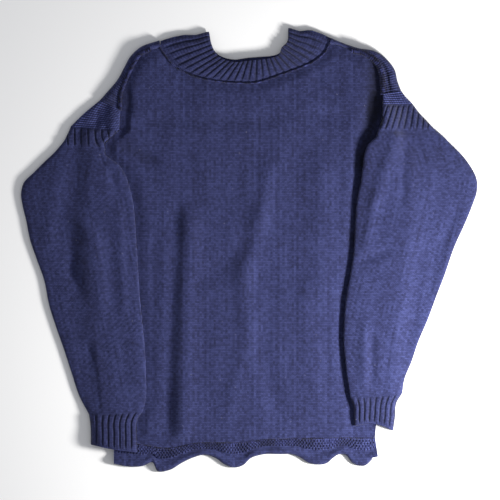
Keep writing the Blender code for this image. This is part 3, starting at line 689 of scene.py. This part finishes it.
def ridged(share, reach, places):
    """Garter ridges across a tube."""
    wave = 0.5 - 0.5 * math.cos(2 * math.pi * reach / RIDGE_PITCH)
    # the second value is painted shade in the valleys between the ridges
    return RIDGE_HEIGHT * wave * np.ones(len(share)), 0.8 * (1 - wave) ** 2 * np.ones(len(share))

# %% The folds of the sleeves
LEFT_FOLDS = (
    (-221, 232, -222, 196, 9, 4.5),
    (-243, 232, -242, 175, 10, -4.5),
    (-264, 222, -272, 170, 9, 1.6),
    (-250, 176, -240, 141, 3.0, -2.4),
    (-243, 170, -233, 146, 2.6, -1.8),
    (-292, 8, -292, -33, 10, -2.4),
    (-292, -33, -279, -66, 10, -2.2),
    (-262, -165, -251, -255, 8, -3.4),
    (-287, 58, -254, 16, 14, 3.0),
    (-254, 16, -244, -90, 13, 2.8),
    (-232, 150, -222, 110, 8, -2.6),
    (-320, 110, -330, 30, 14, 3.0),
    (-214, 60, -208, -90, 10, 2.6),
)
RIGHT_FOLDS = (
    (241, 182, 208, 82, 12, 4.0),
    (208, 82, 191, 16, 11, 3.4),
    (257, 165, 254, 85, 8, -3.0),
    (290, 90, 282, 30, 14, 2.6),
    (340, 58, 315, 0, 10, -2.8),
    (315, 0, 302, -66, 10, -2.8),
    (175, -20, 224, -4, 8, -3.0),
    (191, -132, 191, -215, 9, 3.2),
    (203, -148, 203, -215, 7, -3.0),
)


def right_lift(share, places):
    """The right sleeve's inner edge stands up from the body, most of all beside the armhole."""
    y = places[:, 1]
    height = 2.5 + 7.5 * smooth((y - 40) / 130)
    return height * smooth((y + 290) / 50) * np.exp(-((share / 0.32) ** 2))


def left_lift(share, places):
    """The left sleeve's inner edge stands up a little."""
    y = places[:, 1]
    return 3.0 * smooth((y + 250) / 60) * np.exp(-((1 - share) / 0.25) ** 2)


# %% Make both sleeves
CUFF_SAG = {"left": 2.0, "right": -7.0}
SLEEVES = {
    "left": (HEAD_LEFT, BAND_LEFT, SLEEVE_LEFT, CUFF_LEFT, LEFT_FOLDS, left_lift),
    "right": (HEAD_RIGHT, BAND_RIGHT, SLEEVE_RIGHT, CUFF_RIGHT, RIGHT_FOLDS, right_lift),
}
CUFF_RIBS = 8


def cuff_ribs(share, places):
    """The ribs of a cuff run along it, the same number at both ends."""
    return share * CUFF_RIBS


RIBS = {("left", "rib"): left_band_ribs, ("right", "rib"): right_band_ribs,
        ("left", "cuff"): cuff_ribs, ("right", "cuff"): cuff_ribs}
RIB_PITCH = {("left", "rib"): LEFT_RIB_PITCH, ("right", "rib"): RIGHT_RIB_PITCH,
             ("left", "cuff"): 78 / CUFF_RIBS, ("right", "cuff"): 66 / CUFF_RIBS}
pieces = {}
sections = {}
for side, (head, band, sleeve, cuff, folds, lift) in SLEEVES.items():
    parts = (
        ("head", head, 0.9, 60, ridged, "ridged"),
        ("rib", band, 1.2, 120, None, "ribbed"),
        ("sleeve", sleeve, 3.6, 70, None, "plain"),
        ("cuff", cuff, 1.6, 120, None, "ribbed"),
    )
    start = 0.0
    for part, table, step, columns, raised, wool in parts:
        rows = flowing(table, step)
        width = float(np.linalg.norm(rows[:, 2:] - rows[:, :2], axis=1).mean())
        long = length_of(rows.reshape(-1, 2, 2).mean(1))
        if wool == "ribbed":
            raised = ribbed(RIBS[side, part], RIB_PITCH[side, part], long)
        outer, inner, cloth, painted_shades = flattened(
            rows, columns, fullness, folds if part != "cuff" else (), raised, lift, start,
            CUFF_SAG[side] if part == "cuff" else 0.0)
        start += long
        if wool == "ribbed":
            cloth[..., 0] *= 3 * WALE / RIB_PITCH[side, part]
        name = f"{side}_{part}_cloth"
        pieces[name] = add_tube_shell(name, outer, inner, cloth, painted_shades, wool)
        sections[name] = rows
        print(name, len(pieces[name].data.polygons), "faces, highest", round(float(outer[..., 2].max()), 1))

# %% [markdown]
# ## The hem
# Below the plain body come a band of moss stitch and a narrow welt that curls in shallow scallops.
# The front and the back are separate here, because the hem is split at the sides. All four strips have
# the same build, a section carried along the hem's line, so one function makes them.

# %% Make the hem
HEM_END = 203.0
BAND_SHARE = 0.48
BACK_HEM_RAISE = 4.0
VENT_CORNER = (213.0, -341.0)
HEM_COLUMNS = 260
CURL = ((0.0, -0.6), (0.2, -0.2), (0.55, 3.4), (0.82, 2.8), (1.0, -0.6))

x = np.linspace(HEM[0][0], HEM[-1][0], HEM_COLUMNS)
hem_top = np.column_stack([x, hem_line(x, 1)])
narrowing = (HEM_END - HEM[0][0]) / (HEM[-1][0] - HEM[0][0])
hem_edge = np.column_stack([HEM[0][0] + (x - HEM[0][0]) * narrowing, hem_line(x, 2)])
back_edge = hem_edge + (0.0, BACK_HEM_RAISE)
back_edge[-1] = VENT_CORNER


def hem_strip(name, low, start, end, rows, profile, base, wool):
    """Part of the hem from one share of its height to another, with the heights of its section."""
    share = np.linspace(start, end, rows)
    strip = hem_top + share[:, None, None] * (low - hem_top)
    height = np.interp(np.linspace(0, 1, rows), [p[0] for p in profile], [p[1] for p in profile])
    wave = 0.5 * np.sin(x / 9.0 + 2 * np.sin(x / 37.0))
    over = base + height[:, None] + wave * (base > WALL)
    return add_sheet_shell(name, strip, over, over - WALL, strip, np.zeros(strip.shape[:2]), wool)


MOSS = ((0.0, 0.0), (0.12, 1.3), (0.3, 0.9), (0.9, 0.9), (1.0, 0.0))
LEVEL = ((0.0, 0.0), (1.0, 0.0))
HEM_STRIPS = (
    ("front_hem_band_cloth", hem_edge, 0.0, BAND_SHARE, 14, MOSS, FLAT, "moss"),
    ("front_hem_welt_cloth", hem_edge, BAND_SHARE, 1.0, 16, CURL, FLAT, "plain"),
    ("back_hem_band_cloth", back_edge, 0.0, BAND_SHARE, 8, LEVEL, WALL, "moss"),
    ("back_hem_welt_cloth", back_edge, BAND_SHARE, 1.0, 8, LEVEL, WALL, "back"),
)
for name, *form in HEM_STRIPS:
    pieces[name] = hem_strip(name, *form)

# %% [markdown]
# ## The shoulder straps
# A strap of garter stitch runs over each shoulder from the neck to the sleeve. It is folded along the
# shoulder's edge, so it shows on the front and lies flat on the back. A flattened tube would close it
# along the front edge too, and there the real strap is open, so its section is a wall bent once.

# %% Make the straps
STRAP_LEFT_EDGE = ((-246, 247), (-232, 263), (-217, 281), (-205, 303), (-196, 319), (-180, 334), (-148, 346))
STRAP_RIGHT_EDGE = ((144, 346), (181, 333), (208, 328), (228, 314), (241, 296), (245, 279), (251, 263))


STRAP_SECTIONS, STRAP_COLUMNS = 260, 14


def add_strap(name, lip_points, fold_points, groove_at, sleeve_last):
    """A wall from its front lip round the fold to its back lip, with ridges across it.

    The ridges grow towards the sleeve, and a furrow starts at groove_at of the way there. The points
    end at the sleeve where sleeve_last is true, and start there otherwise.
    """
    count, size = STRAP_SECTIONS, 2 * STRAP_COLUMNS
    share = np.linspace(0, 1, count)
    lip = along(flowing(lip_points, 2.0), share)
    fold = along(flowing(fold_points, 2.0), share)
    length = length_of(lip)
    turn = np.linspace(0, 1, STRAP_COLUMNS)
    bow = np.concatenate([turn, turn[::-1]])
    above = np.concatenate([np.ones(STRAP_COLUMNS), np.zeros(STRAP_COLUMNS)])
    outer, inner, cloth, painted_shades = [], [], [], []
    for i in range(count):
        width = np.linalg.norm(fold[i] - lip[i])
        wave = 0.5 - 0.5 * math.cos(2 * math.pi * share[i] * length / RIDGE_PITCH)
        near_sleeve = share[i] if sleeve_last else 1 - share[i]
        grown = 0.3 + 0.7 * float(smooth(near_sleeve * 2 - 0.7))
        furrow = float(smooth((near_sleeve - groove_at) * 6)) * np.exp(-(((bow - 0.42) * width / 2.2) ** 2))
        curve = np.sqrt(1 - (1 - np.clip((1 - bow) * width / EDGE_ROUND, 0, 1)) ** 2)
        top = FLAT * (0.62 + 0.38 * curve) + 4.5 * np.sin(np.pi * bow) ** 0.6 - 3.6 * furrow
        top = top + RIDGE_HEIGHT * wave * curve * grown
        low = 0.3 * FLAT * (1 - curve)
        z = np.where(above > 0, top, low)
        places = lip[i] + bow[:, None] * (fold[i] - lip[i])
        outer.append(np.column_stack([places, z]))
        tucked = lip[i] + bow[:, None] * max(1 - WALL / width, 0.3) * (fold[i] - lip[i])
        inner_z = np.where(above > 0, np.maximum(top - WALL, WALL + GAP), WALL)
        inner.append(np.column_stack([tucked, inner_z]))
        cloth.append(np.column_stack([np.full(size, share[i] * length), bow * width]))
        # painted shade in the valleys between the ridges and in the furrow
        painted_shades.append(np.where(above > 0, 0.7 * grown * (1 - wave) ** 2 + 0.9 * furrow, 0.0))
    outer, inner = np.array(outer), np.array(inner)
    faces = []
    for first, flip in ((0, False), (count * size, True)):
        whole = skin(count, size, first, flip).reshape(count - 1, size, 4)
        faces.append(whole[:, :-1].reshape(-1, 4))
    start = count * size
    i = np.arange(count - 1) * size
    for j, flip in ((0, True), (size - 1, False)):
        lip_face = np.stack([i + j, i + j + start, i + j + start + size, i + j + size], axis=-1)
        faces.append(lip_face[:, ::-1] if flip else lip_face)
    j = np.arange(size - 1)
    for row, flip in ((0, True), (count - 1, False)):
        a = row * size + j
        end = np.stack([a, a + 1, a + 1 + start, a + start], axis=-1)
        faces.append(end[:, ::-1] if flip else end)
    points = np.concatenate([outer.reshape(-1, 3), inner.reshape(-1, 3)])
    return add_shell(name, points, np.concatenate(faces), np.tile(np.array(cloth).reshape(-1, 2), (2, 1)),
                     np.tile(np.array(painted_shades).reshape(-1), 2), "strap")


pieces["left_strap_cloth"] = add_strap("left_strap_cloth", ROPE_LEFT, STRAP_LEFT_EDGE, 2.0,
                                       False)
pieces["right_strap_cloth"] = add_strap("right_strap_cloth", ((132, 340), *ROPE_RIGHT),
                                        ((136, 349.5), *STRAP_RIGHT_EDGE), 0.5, True)

# %% [markdown]
# ## The neckband
# The stitches of the collar are picked up round the neck and knitted upwards in two-by-two rib. It lies
# folded flat at both sides, and the inside of its back shows as a dark strip above the front's edge.
# Its loops are made as the sleeves' are, but round the neck, so that each rib runs from base to top.

# %% Make the neckband
NECK_TOP = (
    (-69, 360), (-64, 340), (-54, 323), (-40, 314), (-23, 310), (-3, 312), (18, 314), (38, 317),
    (50, 322), (54, 332), (64, 342), (68, 366),
)
NECK_LEFT_END, NECK_RIGHT_END = (-145.5, 345), (136, 349)
NECK_BOW = ((0.0, 0.0, 0.0), (0.25, 2.5, 4.0), (0.5, 2.5, 5.5), (0.75, -1.5, -1.0), (1.0, 0.0, 0.0))
NECK_BACK_RAISE = 5.0
NECK_RIBS = 27
NECK_ROWS = 22
NECK_RIB_HEIGHT = 1.9
NECK_PUFF, NECK_ROLL = 4.5, 0.62
BOW_WIDTH = 0.06  # share of the band's length that bows at each side

base_line = flowing([NECK_LEFT_END, ROPE_LEFT[-1], *NECK_BASE, NECK_RIGHT_END], 2.0)
top_line = flowing(NECK_TOP, 2.0)
front_share = np.linspace(0, 1, NECK_RIBS * 12 + 1)
share = np.concatenate([front_share, np.linspace(1, 0, 90)])
is_back = np.arange(len(share)) >= len(front_share)
neck_base, neck_top = along(base_line, share), along(top_line, share)
neck_top[:, 1] += np.where(is_back, NECK_BACK_RAISE * np.sin(np.pi * share) ** 2, 0.0)
side = np.minimum(share, 1 - share)
turn = (share * NECK_RIBS) % 1.0
pitch = length_of(base_line) / NECK_RIBS
sunk = np.exp(-((np.minimum(turn, 1 - turn) * pitch / (GROOVE * 1.5)) ** 2)) * smooth(side / 0.02)
bow = np.array(NECK_BOW)
outer, inner, cloth, painted_shades = [], [], [], []
for t in np.linspace(0, 1, NECK_ROWS):
    left_bow, right_bow = np.interp(t, bow[:, 0], bow[:, 1]), np.interp(t, bow[:, 0], bow[:, 2])
    line = (1 - t) * neck_base + t * neck_top
    line[:, 1] += left_bow * np.exp(-share / BOW_WIDTH) + right_bow * np.exp((share - 1) / BOW_WIDTH)
    puff = NECK_PUFF * math.sin(math.pi * min(1.0, t * NECK_ROLL)) * smooth(side / 0.08)
    roll = FLAT * (0.6 + 0.4 * smooth(side / 0.02))
    over = roll + puff + NECK_RIB_HEIGHT * (1 - sunk) * min(1.0, 6 * t)
    under = 0.25 * FLAT * (1 - smooth(side / 0.05))
    outer.append(np.column_stack([line, np.where(is_back, under, over)]))
    pull = np.sign(0.5 - share) * WALL * (1 - smooth(side / 0.25))
    inside = line + np.column_stack([pull, 0 * pull])
    roof = np.maximum(over - WALL, WALL + GAP)
    inner.append(np.column_stack([inside, np.where(is_back, WALL, roof)]))
    cloth.append(np.column_stack([share * NECK_RIBS * 3 * WALE, np.full(len(share), t * 40.0)]))
    # painted shade in the sunk purl columns of the rib
    painted_shades.append(np.where(is_back, 0.0, sunk * min(1.0, 4 * t)))
pieces["neckband_cloth"] = add_tube_shell("neckband_cloth", np.array(outer), np.array(inner), np.array(cloth),
                                          np.array(painted_shades), "ribbed")
print("neckband", len(pieces["neckband_cloth"].data.polygons), "faces")

# %% [markdown]
# ## Cords and seams
# A rope of twisted stitches runs along each strap, and a corded seam goes round the neckband. Both
# repeat one small stitch along a path, which is what Geometry Nodes do well: a curve is cut into even
# steps and each step gets one bead, turned along the path.

# %% A tree that puts stitches along a path
def stitches_along(name, turned_about):
    """Geometry Nodes: beads at even steps along a curve, with a core through them."""
    tree = bpy.data.node_groups.new(name, "GeometryNodeTree")
    tree.interface.new_socket("Path", in_out="INPUT", socket_type="NodeSocketGeometry")
    for label in ("Spacing", "Bead width", "Bead height", "Bead length", "Tilt", "Core radius"):
        tree.interface.new_socket(label, in_out="INPUT", socket_type="NodeSocketFloat")
    tree.interface.new_socket("Wool", in_out="INPUT", socket_type="NodeSocketMaterial")
    tree.interface.new_socket("Cord", in_out="OUTPUT", socket_type="NodeSocketGeometry")
    given = tree.nodes.new("NodeGroupInput").outputs
    steps = add(tree, "GeometryNodeCurveToPoints", {"mode": "LENGTH"}, Curve=given["Path"],
                Length=given["Spacing"])
    size = add(tree, "ShaderNodeCombineXYZ", X=given["Bead width"], Y=given["Bead height"],
               Z=given["Bead length"])
    bead = add(tree, "GeometryNodeMeshUVSphere", Segments=8, Rings=5, Radius=1.0)
    beads = add(tree, "GeometryNodeInstanceOnPoints", Points=steps.outputs["Points"],
                Instance=bead.outputs["Mesh"], Rotation=steps.outputs["Rotation"], Scale=size)
    slant = add(tree, "ShaderNodeCombineXYZ", **{turned_about: given["Tilt"]})
    slanted = add(tree, "GeometryNodeRotateInstances", Instances=beads,
                  Rotation=add(tree, "FunctionNodeEulerToRotation", Euler=slant))
    ring = add(tree, "GeometryNodeCurvePrimitiveCircle", {"mode": "RADIUS"}, Resolution=8,
               Radius=given["Core radius"])
    core = add(tree, "GeometryNodeCurveToMesh", Curve=given["Path"], Profile_Curve=ring.outputs["Curve"],
               Fill_Caps=True)
    both = add(tree, "GeometryNodeJoinGeometry", Geometry=slanted)
    tree.links.new(core, both.node.inputs["Geometry"])
    plain = add(tree, "GeometryNodeRealizeInstances", Geometry=both)
    finished = add(tree, "GeometryNodeSetMaterial", Geometry=plain, Material=given["Wool"])
    tree.links.new(finished, tree.nodes.new("NodeGroupOutput").inputs["Cord"])
    return tree


def made_by_nodes(source, tree, name, values):
    """The plain mesh that a tree makes from an object, whose modifier and object are then removed."""
    modifier = source.modifiers.new(name, "NODES")
    modifier.node_group = tree
    sockets = {item.name: item.identifier for item in tree.interface.items_tree if item.in_out == "INPUT"}
    for label, value in values.items():
        modifier[sockets[label]] = value
    bpy.context.view_layer.update()
    graph = bpy.context.evaluated_depsgraph_get()
    mesh = bpy.data.meshes.new_from_object(source.evaluated_get(graph), depsgraph=graph)
    bpy.data.objects.remove(source, do_unlink=True)
    mesh.name = name
    mesh.shade_smooth()
    piece = bpy.data.objects.new(name, mesh)
    bpy.context.scene.collection.objects.link(piece)
    return piece


def path(places):
    """A curve through places in millimetres."""
    curve = bpy.data.curves.new("path", "CURVE")
    curve.dimensions = "3D"
    curve.twist_mode = "Z_UP"
    line = curve.splines.new("POLY")
    line.points.add(len(places) - 1)
    line.points.foreach_set("co", np.column_stack([places * MM, np.ones(len(places))]).ravel())
    holder = bpy.data.objects.new("path", curve)
    bpy.context.scene.collection.objects.link(holder)
    return holder


CORDED = stitches_along("stitches_along_a_path", "Y")


def add_cord(name, line, height, spacing, bead, tilt, core, wool="cord"):
    """Stitches along a line at that height above the floor. bead is half its width, height and length."""
    places = np.column_stack([line, np.broadcast_to(height, len(line))])
    piece = made_by_nodes(path(places), CORDED, name, {
        "Spacing": spacing * MM, "Bead width": bead[0] * MM, "Bead height": bead[1] * MM,
        "Bead length": bead[2] * MM, "Tilt": tilt, "Core radius": core * MM, "Wool": WOOLS[wool],
    })
    print(name, round(length_of(line)), "mm long,", len(piece.data.polygons), "faces")
    return piece


# %% Make the ropes and the corded seam
ROPE_PITCH = 3.6
pieces["neck_seam_stitches"] = add_cord(
    "neck_seam_stitches", shifted(flowing([ROPE_LEFT[-1], *NECK_BASE], 3.0), -0.8), FLAT + 2.0, 2.6,
    (1.5, 1.5, 1.7), 0.5, 1.2)
pieces["left_rope_stitches"] = add_cord(
    "left_rope_stitches", shifted(flowing(ROPE_LEFT[:-1], 3.0), 0.6), FLAT + 4.2, ROPE_PITCH,
    (3.9, 3.8, 1.5), 0.35, 2.9)
pieces["right_rope_stitches"] = add_cord(
    "right_rope_stitches", shifted(flowing(ROPE_RIGHT[1:], 3.0), 1.0), FLAT + 5.2, ROPE_PITCH,
    (5.6, 5.2, 1.5), -0.12, 4.0)

# %% [markdown]
# ## Moss stitch
# Moss stitch sets every second stitch to the front, like a chequerboard of small bumps. The bumps are
# one small bead on each place of a grid, which the band carries. The material's bump is too shallow for
# them, and an array would not follow the hem's wavy line, so a tree puts a bead on each place.

# %% A tree that puts bumps on places
def bumps_on_places(name):
    """Geometry Nodes: one bead on each point of a mesh, of slightly uneven size."""
    tree = bpy.data.node_groups.new(name, "GeometryNodeTree")
    tree.interface.new_socket("Places", in_out="INPUT", socket_type="NodeSocketGeometry")
    for label in ("Bump width", "Bump length", "Bump height", "Unevenness"):
        tree.interface.new_socket(label, in_out="INPUT", socket_type="NodeSocketFloat")
    tree.interface.new_socket("Wool", in_out="INPUT", socket_type="NodeSocketMaterial")
    tree.interface.new_socket("Bumps", in_out="OUTPUT", socket_type="NodeSocketGeometry")
    given = tree.nodes.new("NodeGroupInput").outputs
    places = add(tree, "GeometryNodeMeshToPoints", Mesh=given["Places"])
    chance = add(tree, "FunctionNodeRandomValue", {"data_type": "FLOAT_VECTOR"}, Seed=7)
    spread = add(tree, "ShaderNodeVectorMath", {"operation": "SUBTRACT"}, i0=chance.outputs[0],
                 i1=(0.5, 0.5, 0.5))
    spread = add(tree, "ShaderNodeVectorMath", {"operation": "SCALE"}, i0=spread.outputs[0],
                 Scale=given["Unevenness"])
    about_one = add(tree, "ShaderNodeVectorMath", {"operation": "ADD"}, i0=spread.outputs[0],
                    i1=(1.0, 1.0, 1.0))
    size = add(tree, "ShaderNodeCombineXYZ", X=given["Bump width"], Y=given["Bump length"],
               Z=given["Bump height"])
    own = add(tree, "ShaderNodeVectorMath", {"operation": "MULTIPLY"}, i0=about_one.outputs[0], i1=size)
    bead = add(tree, "GeometryNodeMeshUVSphere", Segments=6, Rings=4, Radius=1.0)
    bumps = add(tree, "GeometryNodeInstanceOnPoints", Points=places, Instance=bead.outputs["Mesh"],
                Scale=own.outputs[0])
    plain = add(tree, "GeometryNodeRealizeInstances", Geometry=bumps)
    finished = add(tree, "GeometryNodeSetMaterial", Geometry=plain, Material=given["Wool"])
    tree.links.new(finished, tree.nodes.new("NodeGroupOutput").inputs["Bumps"])
    return tree


def places_object(points):
    """A mesh of loose points in millimetres."""
    mesh = bpy.data.meshes.new("places")
    mesh.from_pydata((np.array(points) * MM).tolist(), [], [])
    holder = bpy.data.objects.new("places", mesh)
    bpy.context.scene.collection.objects.link(holder)
    return holder


BUMPS = bumps_on_places("bumps_on_places")

# %% Make the moss stitches and the raised line above them
MOSS_WALE = 2.5
MOSS_ROWS = 4
MOSS_START, MOSS_SPAN = 0.16, 0.8  # where the rows start on the band, and how much of it they take
moss_places = []
for k in range(MOSS_ROWS):
    share_down = (MOSS_START + MOSS_SPAN * (k + 0.5) / MOSS_ROWS) * BAND_SHARE
    for i in range(int((HEM[-1][0] - HEM[0][0]) / MOSS_WALE)):
        if (i + k) % 2 == 0:
            at = HEM[0][0] + (i + 0.7) * MOSS_WALE
            up = np.interp(at, x, hem_top[:, 1])
            down = np.interp(at, x, hem_edge[:, 1])
            moss_places.append((at, up + share_down * (down - up), FLAT + 1.1))
pieces["front_moss_bumps"] = made_by_nodes(places_object(moss_places), BUMPS, "front_moss_bumps", {
    "Bump width": 1.5 * MM, "Bump length": 2.3 * MM, "Bump height": 1.2 * MM, "Unevenness": 0.45,
    "Wool": WOOLS["moss"],
})
pieces["hem_line_stitches"] = add_cord(
    "hem_line_stitches", hem_top[2:-2] + (0.0, -1.6), FLAT + 1.0, 3.4, (1.2, 1.2, 1.8), 0.4, 0.9)
print(len(moss_places), "moss stitches")

# %% [markdown]
# ## What each piece stands for
# Each cloth piece takes the place of its CAD solid and rides on the sweater's one body. A tube counts all
# round. The stitches on a piece ride with it.

# %% Say what replaces what
pieces["front_cloth"], pieces["back_cloth"] = front_panel, back_panel
STANDS_FOR = {
    "front_cloth": ("front_panel", "plain"), "back_cloth": ("back_panel", "plain"),
    "front_hem_band_cloth": ("front_hem_band", "moss"), "front_hem_welt_cloth": ("front_hem_welt", "plain"),
    "back_hem_band_cloth": ("back_hem_band", "moss"), "back_hem_welt_cloth": ("back_hem_welt", "plain"),
    "left_strap_cloth": ("left_shoulder_strap", "ridged"),
    "right_strap_cloth": ("right_shoulder_strap", "ridged"),
    "neckband_cloth": ("neckband", "ribbed"), "neck_seam_stitches": ("neck_seam_cord", "cord"),
    "left_rope_stitches": ("left_shoulder_rope", "cord"),
    "right_rope_stitches": ("right_shoulder_rope", "cord"),
}
for side in ("left", "right"):
    STANDS_FOR[f"{side}_head_cloth"] = (f"{side}_sleeve_head", "ridged")
    STANDS_FOR[f"{side}_rib_cloth"] = (f"{side}_sleeve_rib", "ribbed")
    STANDS_FOR[f"{side}_sleeve_cloth"] = (f"{side}_sleeve", "plain")
    STANDS_FOR[f"{side}_cuff_cloth"] = (f"{side}_cuff", "ribbed")
ON_CLOTH = {"front_moss_bumps": "moss", "hem_line_stitches": "cord"}

for name, (node, slot) in STANDS_FOR.items():
    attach(pieces[name], "root")
    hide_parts(node)
for name, slot in ON_CLOTH.items():
    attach(pieces[name], "root")

# %% [markdown]
# The flat size of a tube is twice its widest flattened width by its length, and its area follows its
# taper. The front and the back are as large as their plan. The hem's strips, the straps and the neckband
# vary in height, so theirs isn't measured: it is their area over their length, times an allowance that
# is an estimate. Apart from the tubes, the areas are those of the modelled cloth itself.

# %% The size that each piece is knitted to
def tube_cut(rows):
    """Width, length and area in metres of a flattened tube that is cut open."""
    middle = rows.reshape(-1, 2, 2).mean(1)
    width = 2 * np.linalg.norm(rows[:, 2:] - rows[:, :2], axis=1)
    step = np.linalg.norm(np.diff(middle, axis=0), axis=1)
    area = float(((width[1:] + width[:-1]) / 2 * step).sum())
    return float(width.max()) * MM, float(step.sum()) * MM, area * MM * MM


def cloth_area(piece):
    """The area of one side of a closed piece of cloth, in square metres."""
    return sum(face.area for face in piece.data.polygons) / 2


HEM_ALLOWANCE, STRAP_ALLOWANCE, NECK_ALLOWANCE = 1.25, 1.3, 1.35
cuts = {name: tube_cut(rows) for name, rows in sections.items()}
for name in ("front_cloth", "back_cloth"):
    wide, tall = plan[..., 0].max() - plan[..., 0].min(), plan[..., 1].max() - plan[..., 1].min()
    cuts[name] = (wide * MM, tall * MM, cloth_area(back_panel))
for name in ("front_hem_band_cloth", "front_hem_welt_cloth", "back_hem_band_cloth", "back_hem_welt_cloth"):
    wide = (HEM[-1][0] - HEM[0][0]) * MM
    area = cloth_area(pieces[name])
    cuts[name] = (wide, area / wide * HEM_ALLOWANCE, area)
for name, lip, fold in (("left_strap_cloth", ROPE_LEFT, STRAP_LEFT_EDGE),
                        ("right_strap_cloth", ROPE_RIGHT, STRAP_RIGHT_EDGE)):
    far = (length_of(flowing(lip, 2.0)) + length_of(flowing(fold, 2.0))) / 2 * MM
    area = cloth_area(pieces[name])
    cuts[name] = (area / far * STRAP_ALLOWANCE, far, area)
area = cloth_area(pieces["neckband_cloth"])
around = 2 * length_of(base_line) * MM
cuts["neckband_cloth"] = (around, area / around * NECK_ALLOWANCE, area)
for name, (wide, tall, area) in cuts.items():
    print(f"{name}: {wide:.3f} by {tall:.3f} m, {area:.4f} square metres")

# %% [markdown]
# ## Lint
# Dark wool shows every fleck of lint. A few short pale fibres lie where the photograph shows them and
# more are scattered thinly over the body and the sleeves, from a fixed seed. They are beads, as the
# moss stitches are, and a ray from above finds how high the cloth is at each place.

# %% Make the lint
lint = bpy.data.materials.new("cotton_lint")
lint.use_nodes = True
lint_tree = lint.node_tree
lint_tree.nodes.clear()
tone = add(lint_tree, "ShaderNodeTexNoise", Vector=add(lint_tree, "ShaderNodeTexCoord").outputs["Object"],
           Scale=60.0)
warm = add(lint_tree, "ShaderNodeMix", {"data_type": "RGBA"}, i0=tone.outputs["Fac"],
           i6=linear("#8f8fae"), i7=linear("#c9c6cf"))
coat = add(lint_tree, "ShaderNodeBsdfPrincipled", Base_Color=warm.outputs["Result"], Roughness=0.9)
add(lint_tree, "ShaderNodeOutputMaterial", Surface=coat)


def top_at(px, py):
    """How high the highest piece of cloth is at a place in millimetres."""
    graph = bpy.context.evaluated_depsgraph_get()
    start = (px * MM, py * MM, 0.2)
    hit, where, *_ = bpy.context.scene.ray_cast(graph, start, (0.0, 0.0, -1.0))
    return where[2] / MM if hit else None


SEEN_LINT = (
    (-300, 140), (-134, 63), (145, 257), (-285, 16), (-45, -277), (-209, -6), (122, 182), (-41, 44),
    (256, 142), (272, 107), (-118, 25), (60, -210), (-16, 160),
)
LINT_SEED, LINT_TRIES = 11, 60
LINT_LEAST, LINT_RAISE = 5.0, 0.15  # lowest cloth that carries lint, and how far lint stands off it
chance = np.random.default_rng(LINT_SEED)
flecks = list(SEEN_LINT) + [tuple(p) for p in chance.uniform((-340, -300), (340, 280), (LINT_TRIES, 2))]
lint_places = []
for px, py in flecks:
    height = top_at(px, py)
    if height is not None and height > LINT_LEAST:
        lint_places.append((px, py, height + LINT_RAISE))
pieces["lint"] = made_by_nodes(places_object(lint_places), BUMPS, "lint", {
    "Bump width": 0.42 * MM, "Bump length": 0.30 * MM, "Bump height": 0.22 * MM, "Unevenness": 1.1,
    "Wool": lint,
})
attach(pieces["lint"], "root")
print(len(lint_places), "flecks of lint")

# %% [markdown]
# ## The floor
# The sweater was photographed on something plain and pale, so it lies on a plain pale sheet.

# %% Make the floor
floor_paint = bpy.data.materials.new("white_studio_paper")
floor_paint.use_nodes = True
paper = floor_paint.node_tree.nodes["Principled BSDF"]
paper.inputs["Base Color"].default_value = linear("#f4f4f4")
paper.inputs["Roughness"].default_value = 0.95
sheet = bpy.data.meshes.new("floor")
FLOOR, FLOOR_LEVEL = 4.0, -0.0004  # half its width and its height, in metres
sheet.from_pydata([(-FLOOR, -FLOOR, FLOOR_LEVEL), (FLOOR, -FLOOR, FLOOR_LEVEL),
                   (FLOOR, FLOOR, FLOOR_LEVEL), (-FLOOR, FLOOR, FLOOR_LEVEL)], [], [(0, 1, 2, 3)])
sheet.materials.append(floor_paint)
floor = bpy.data.objects.new("floor", sheet)
bpy.context.scene.collection.objects.link(floor)
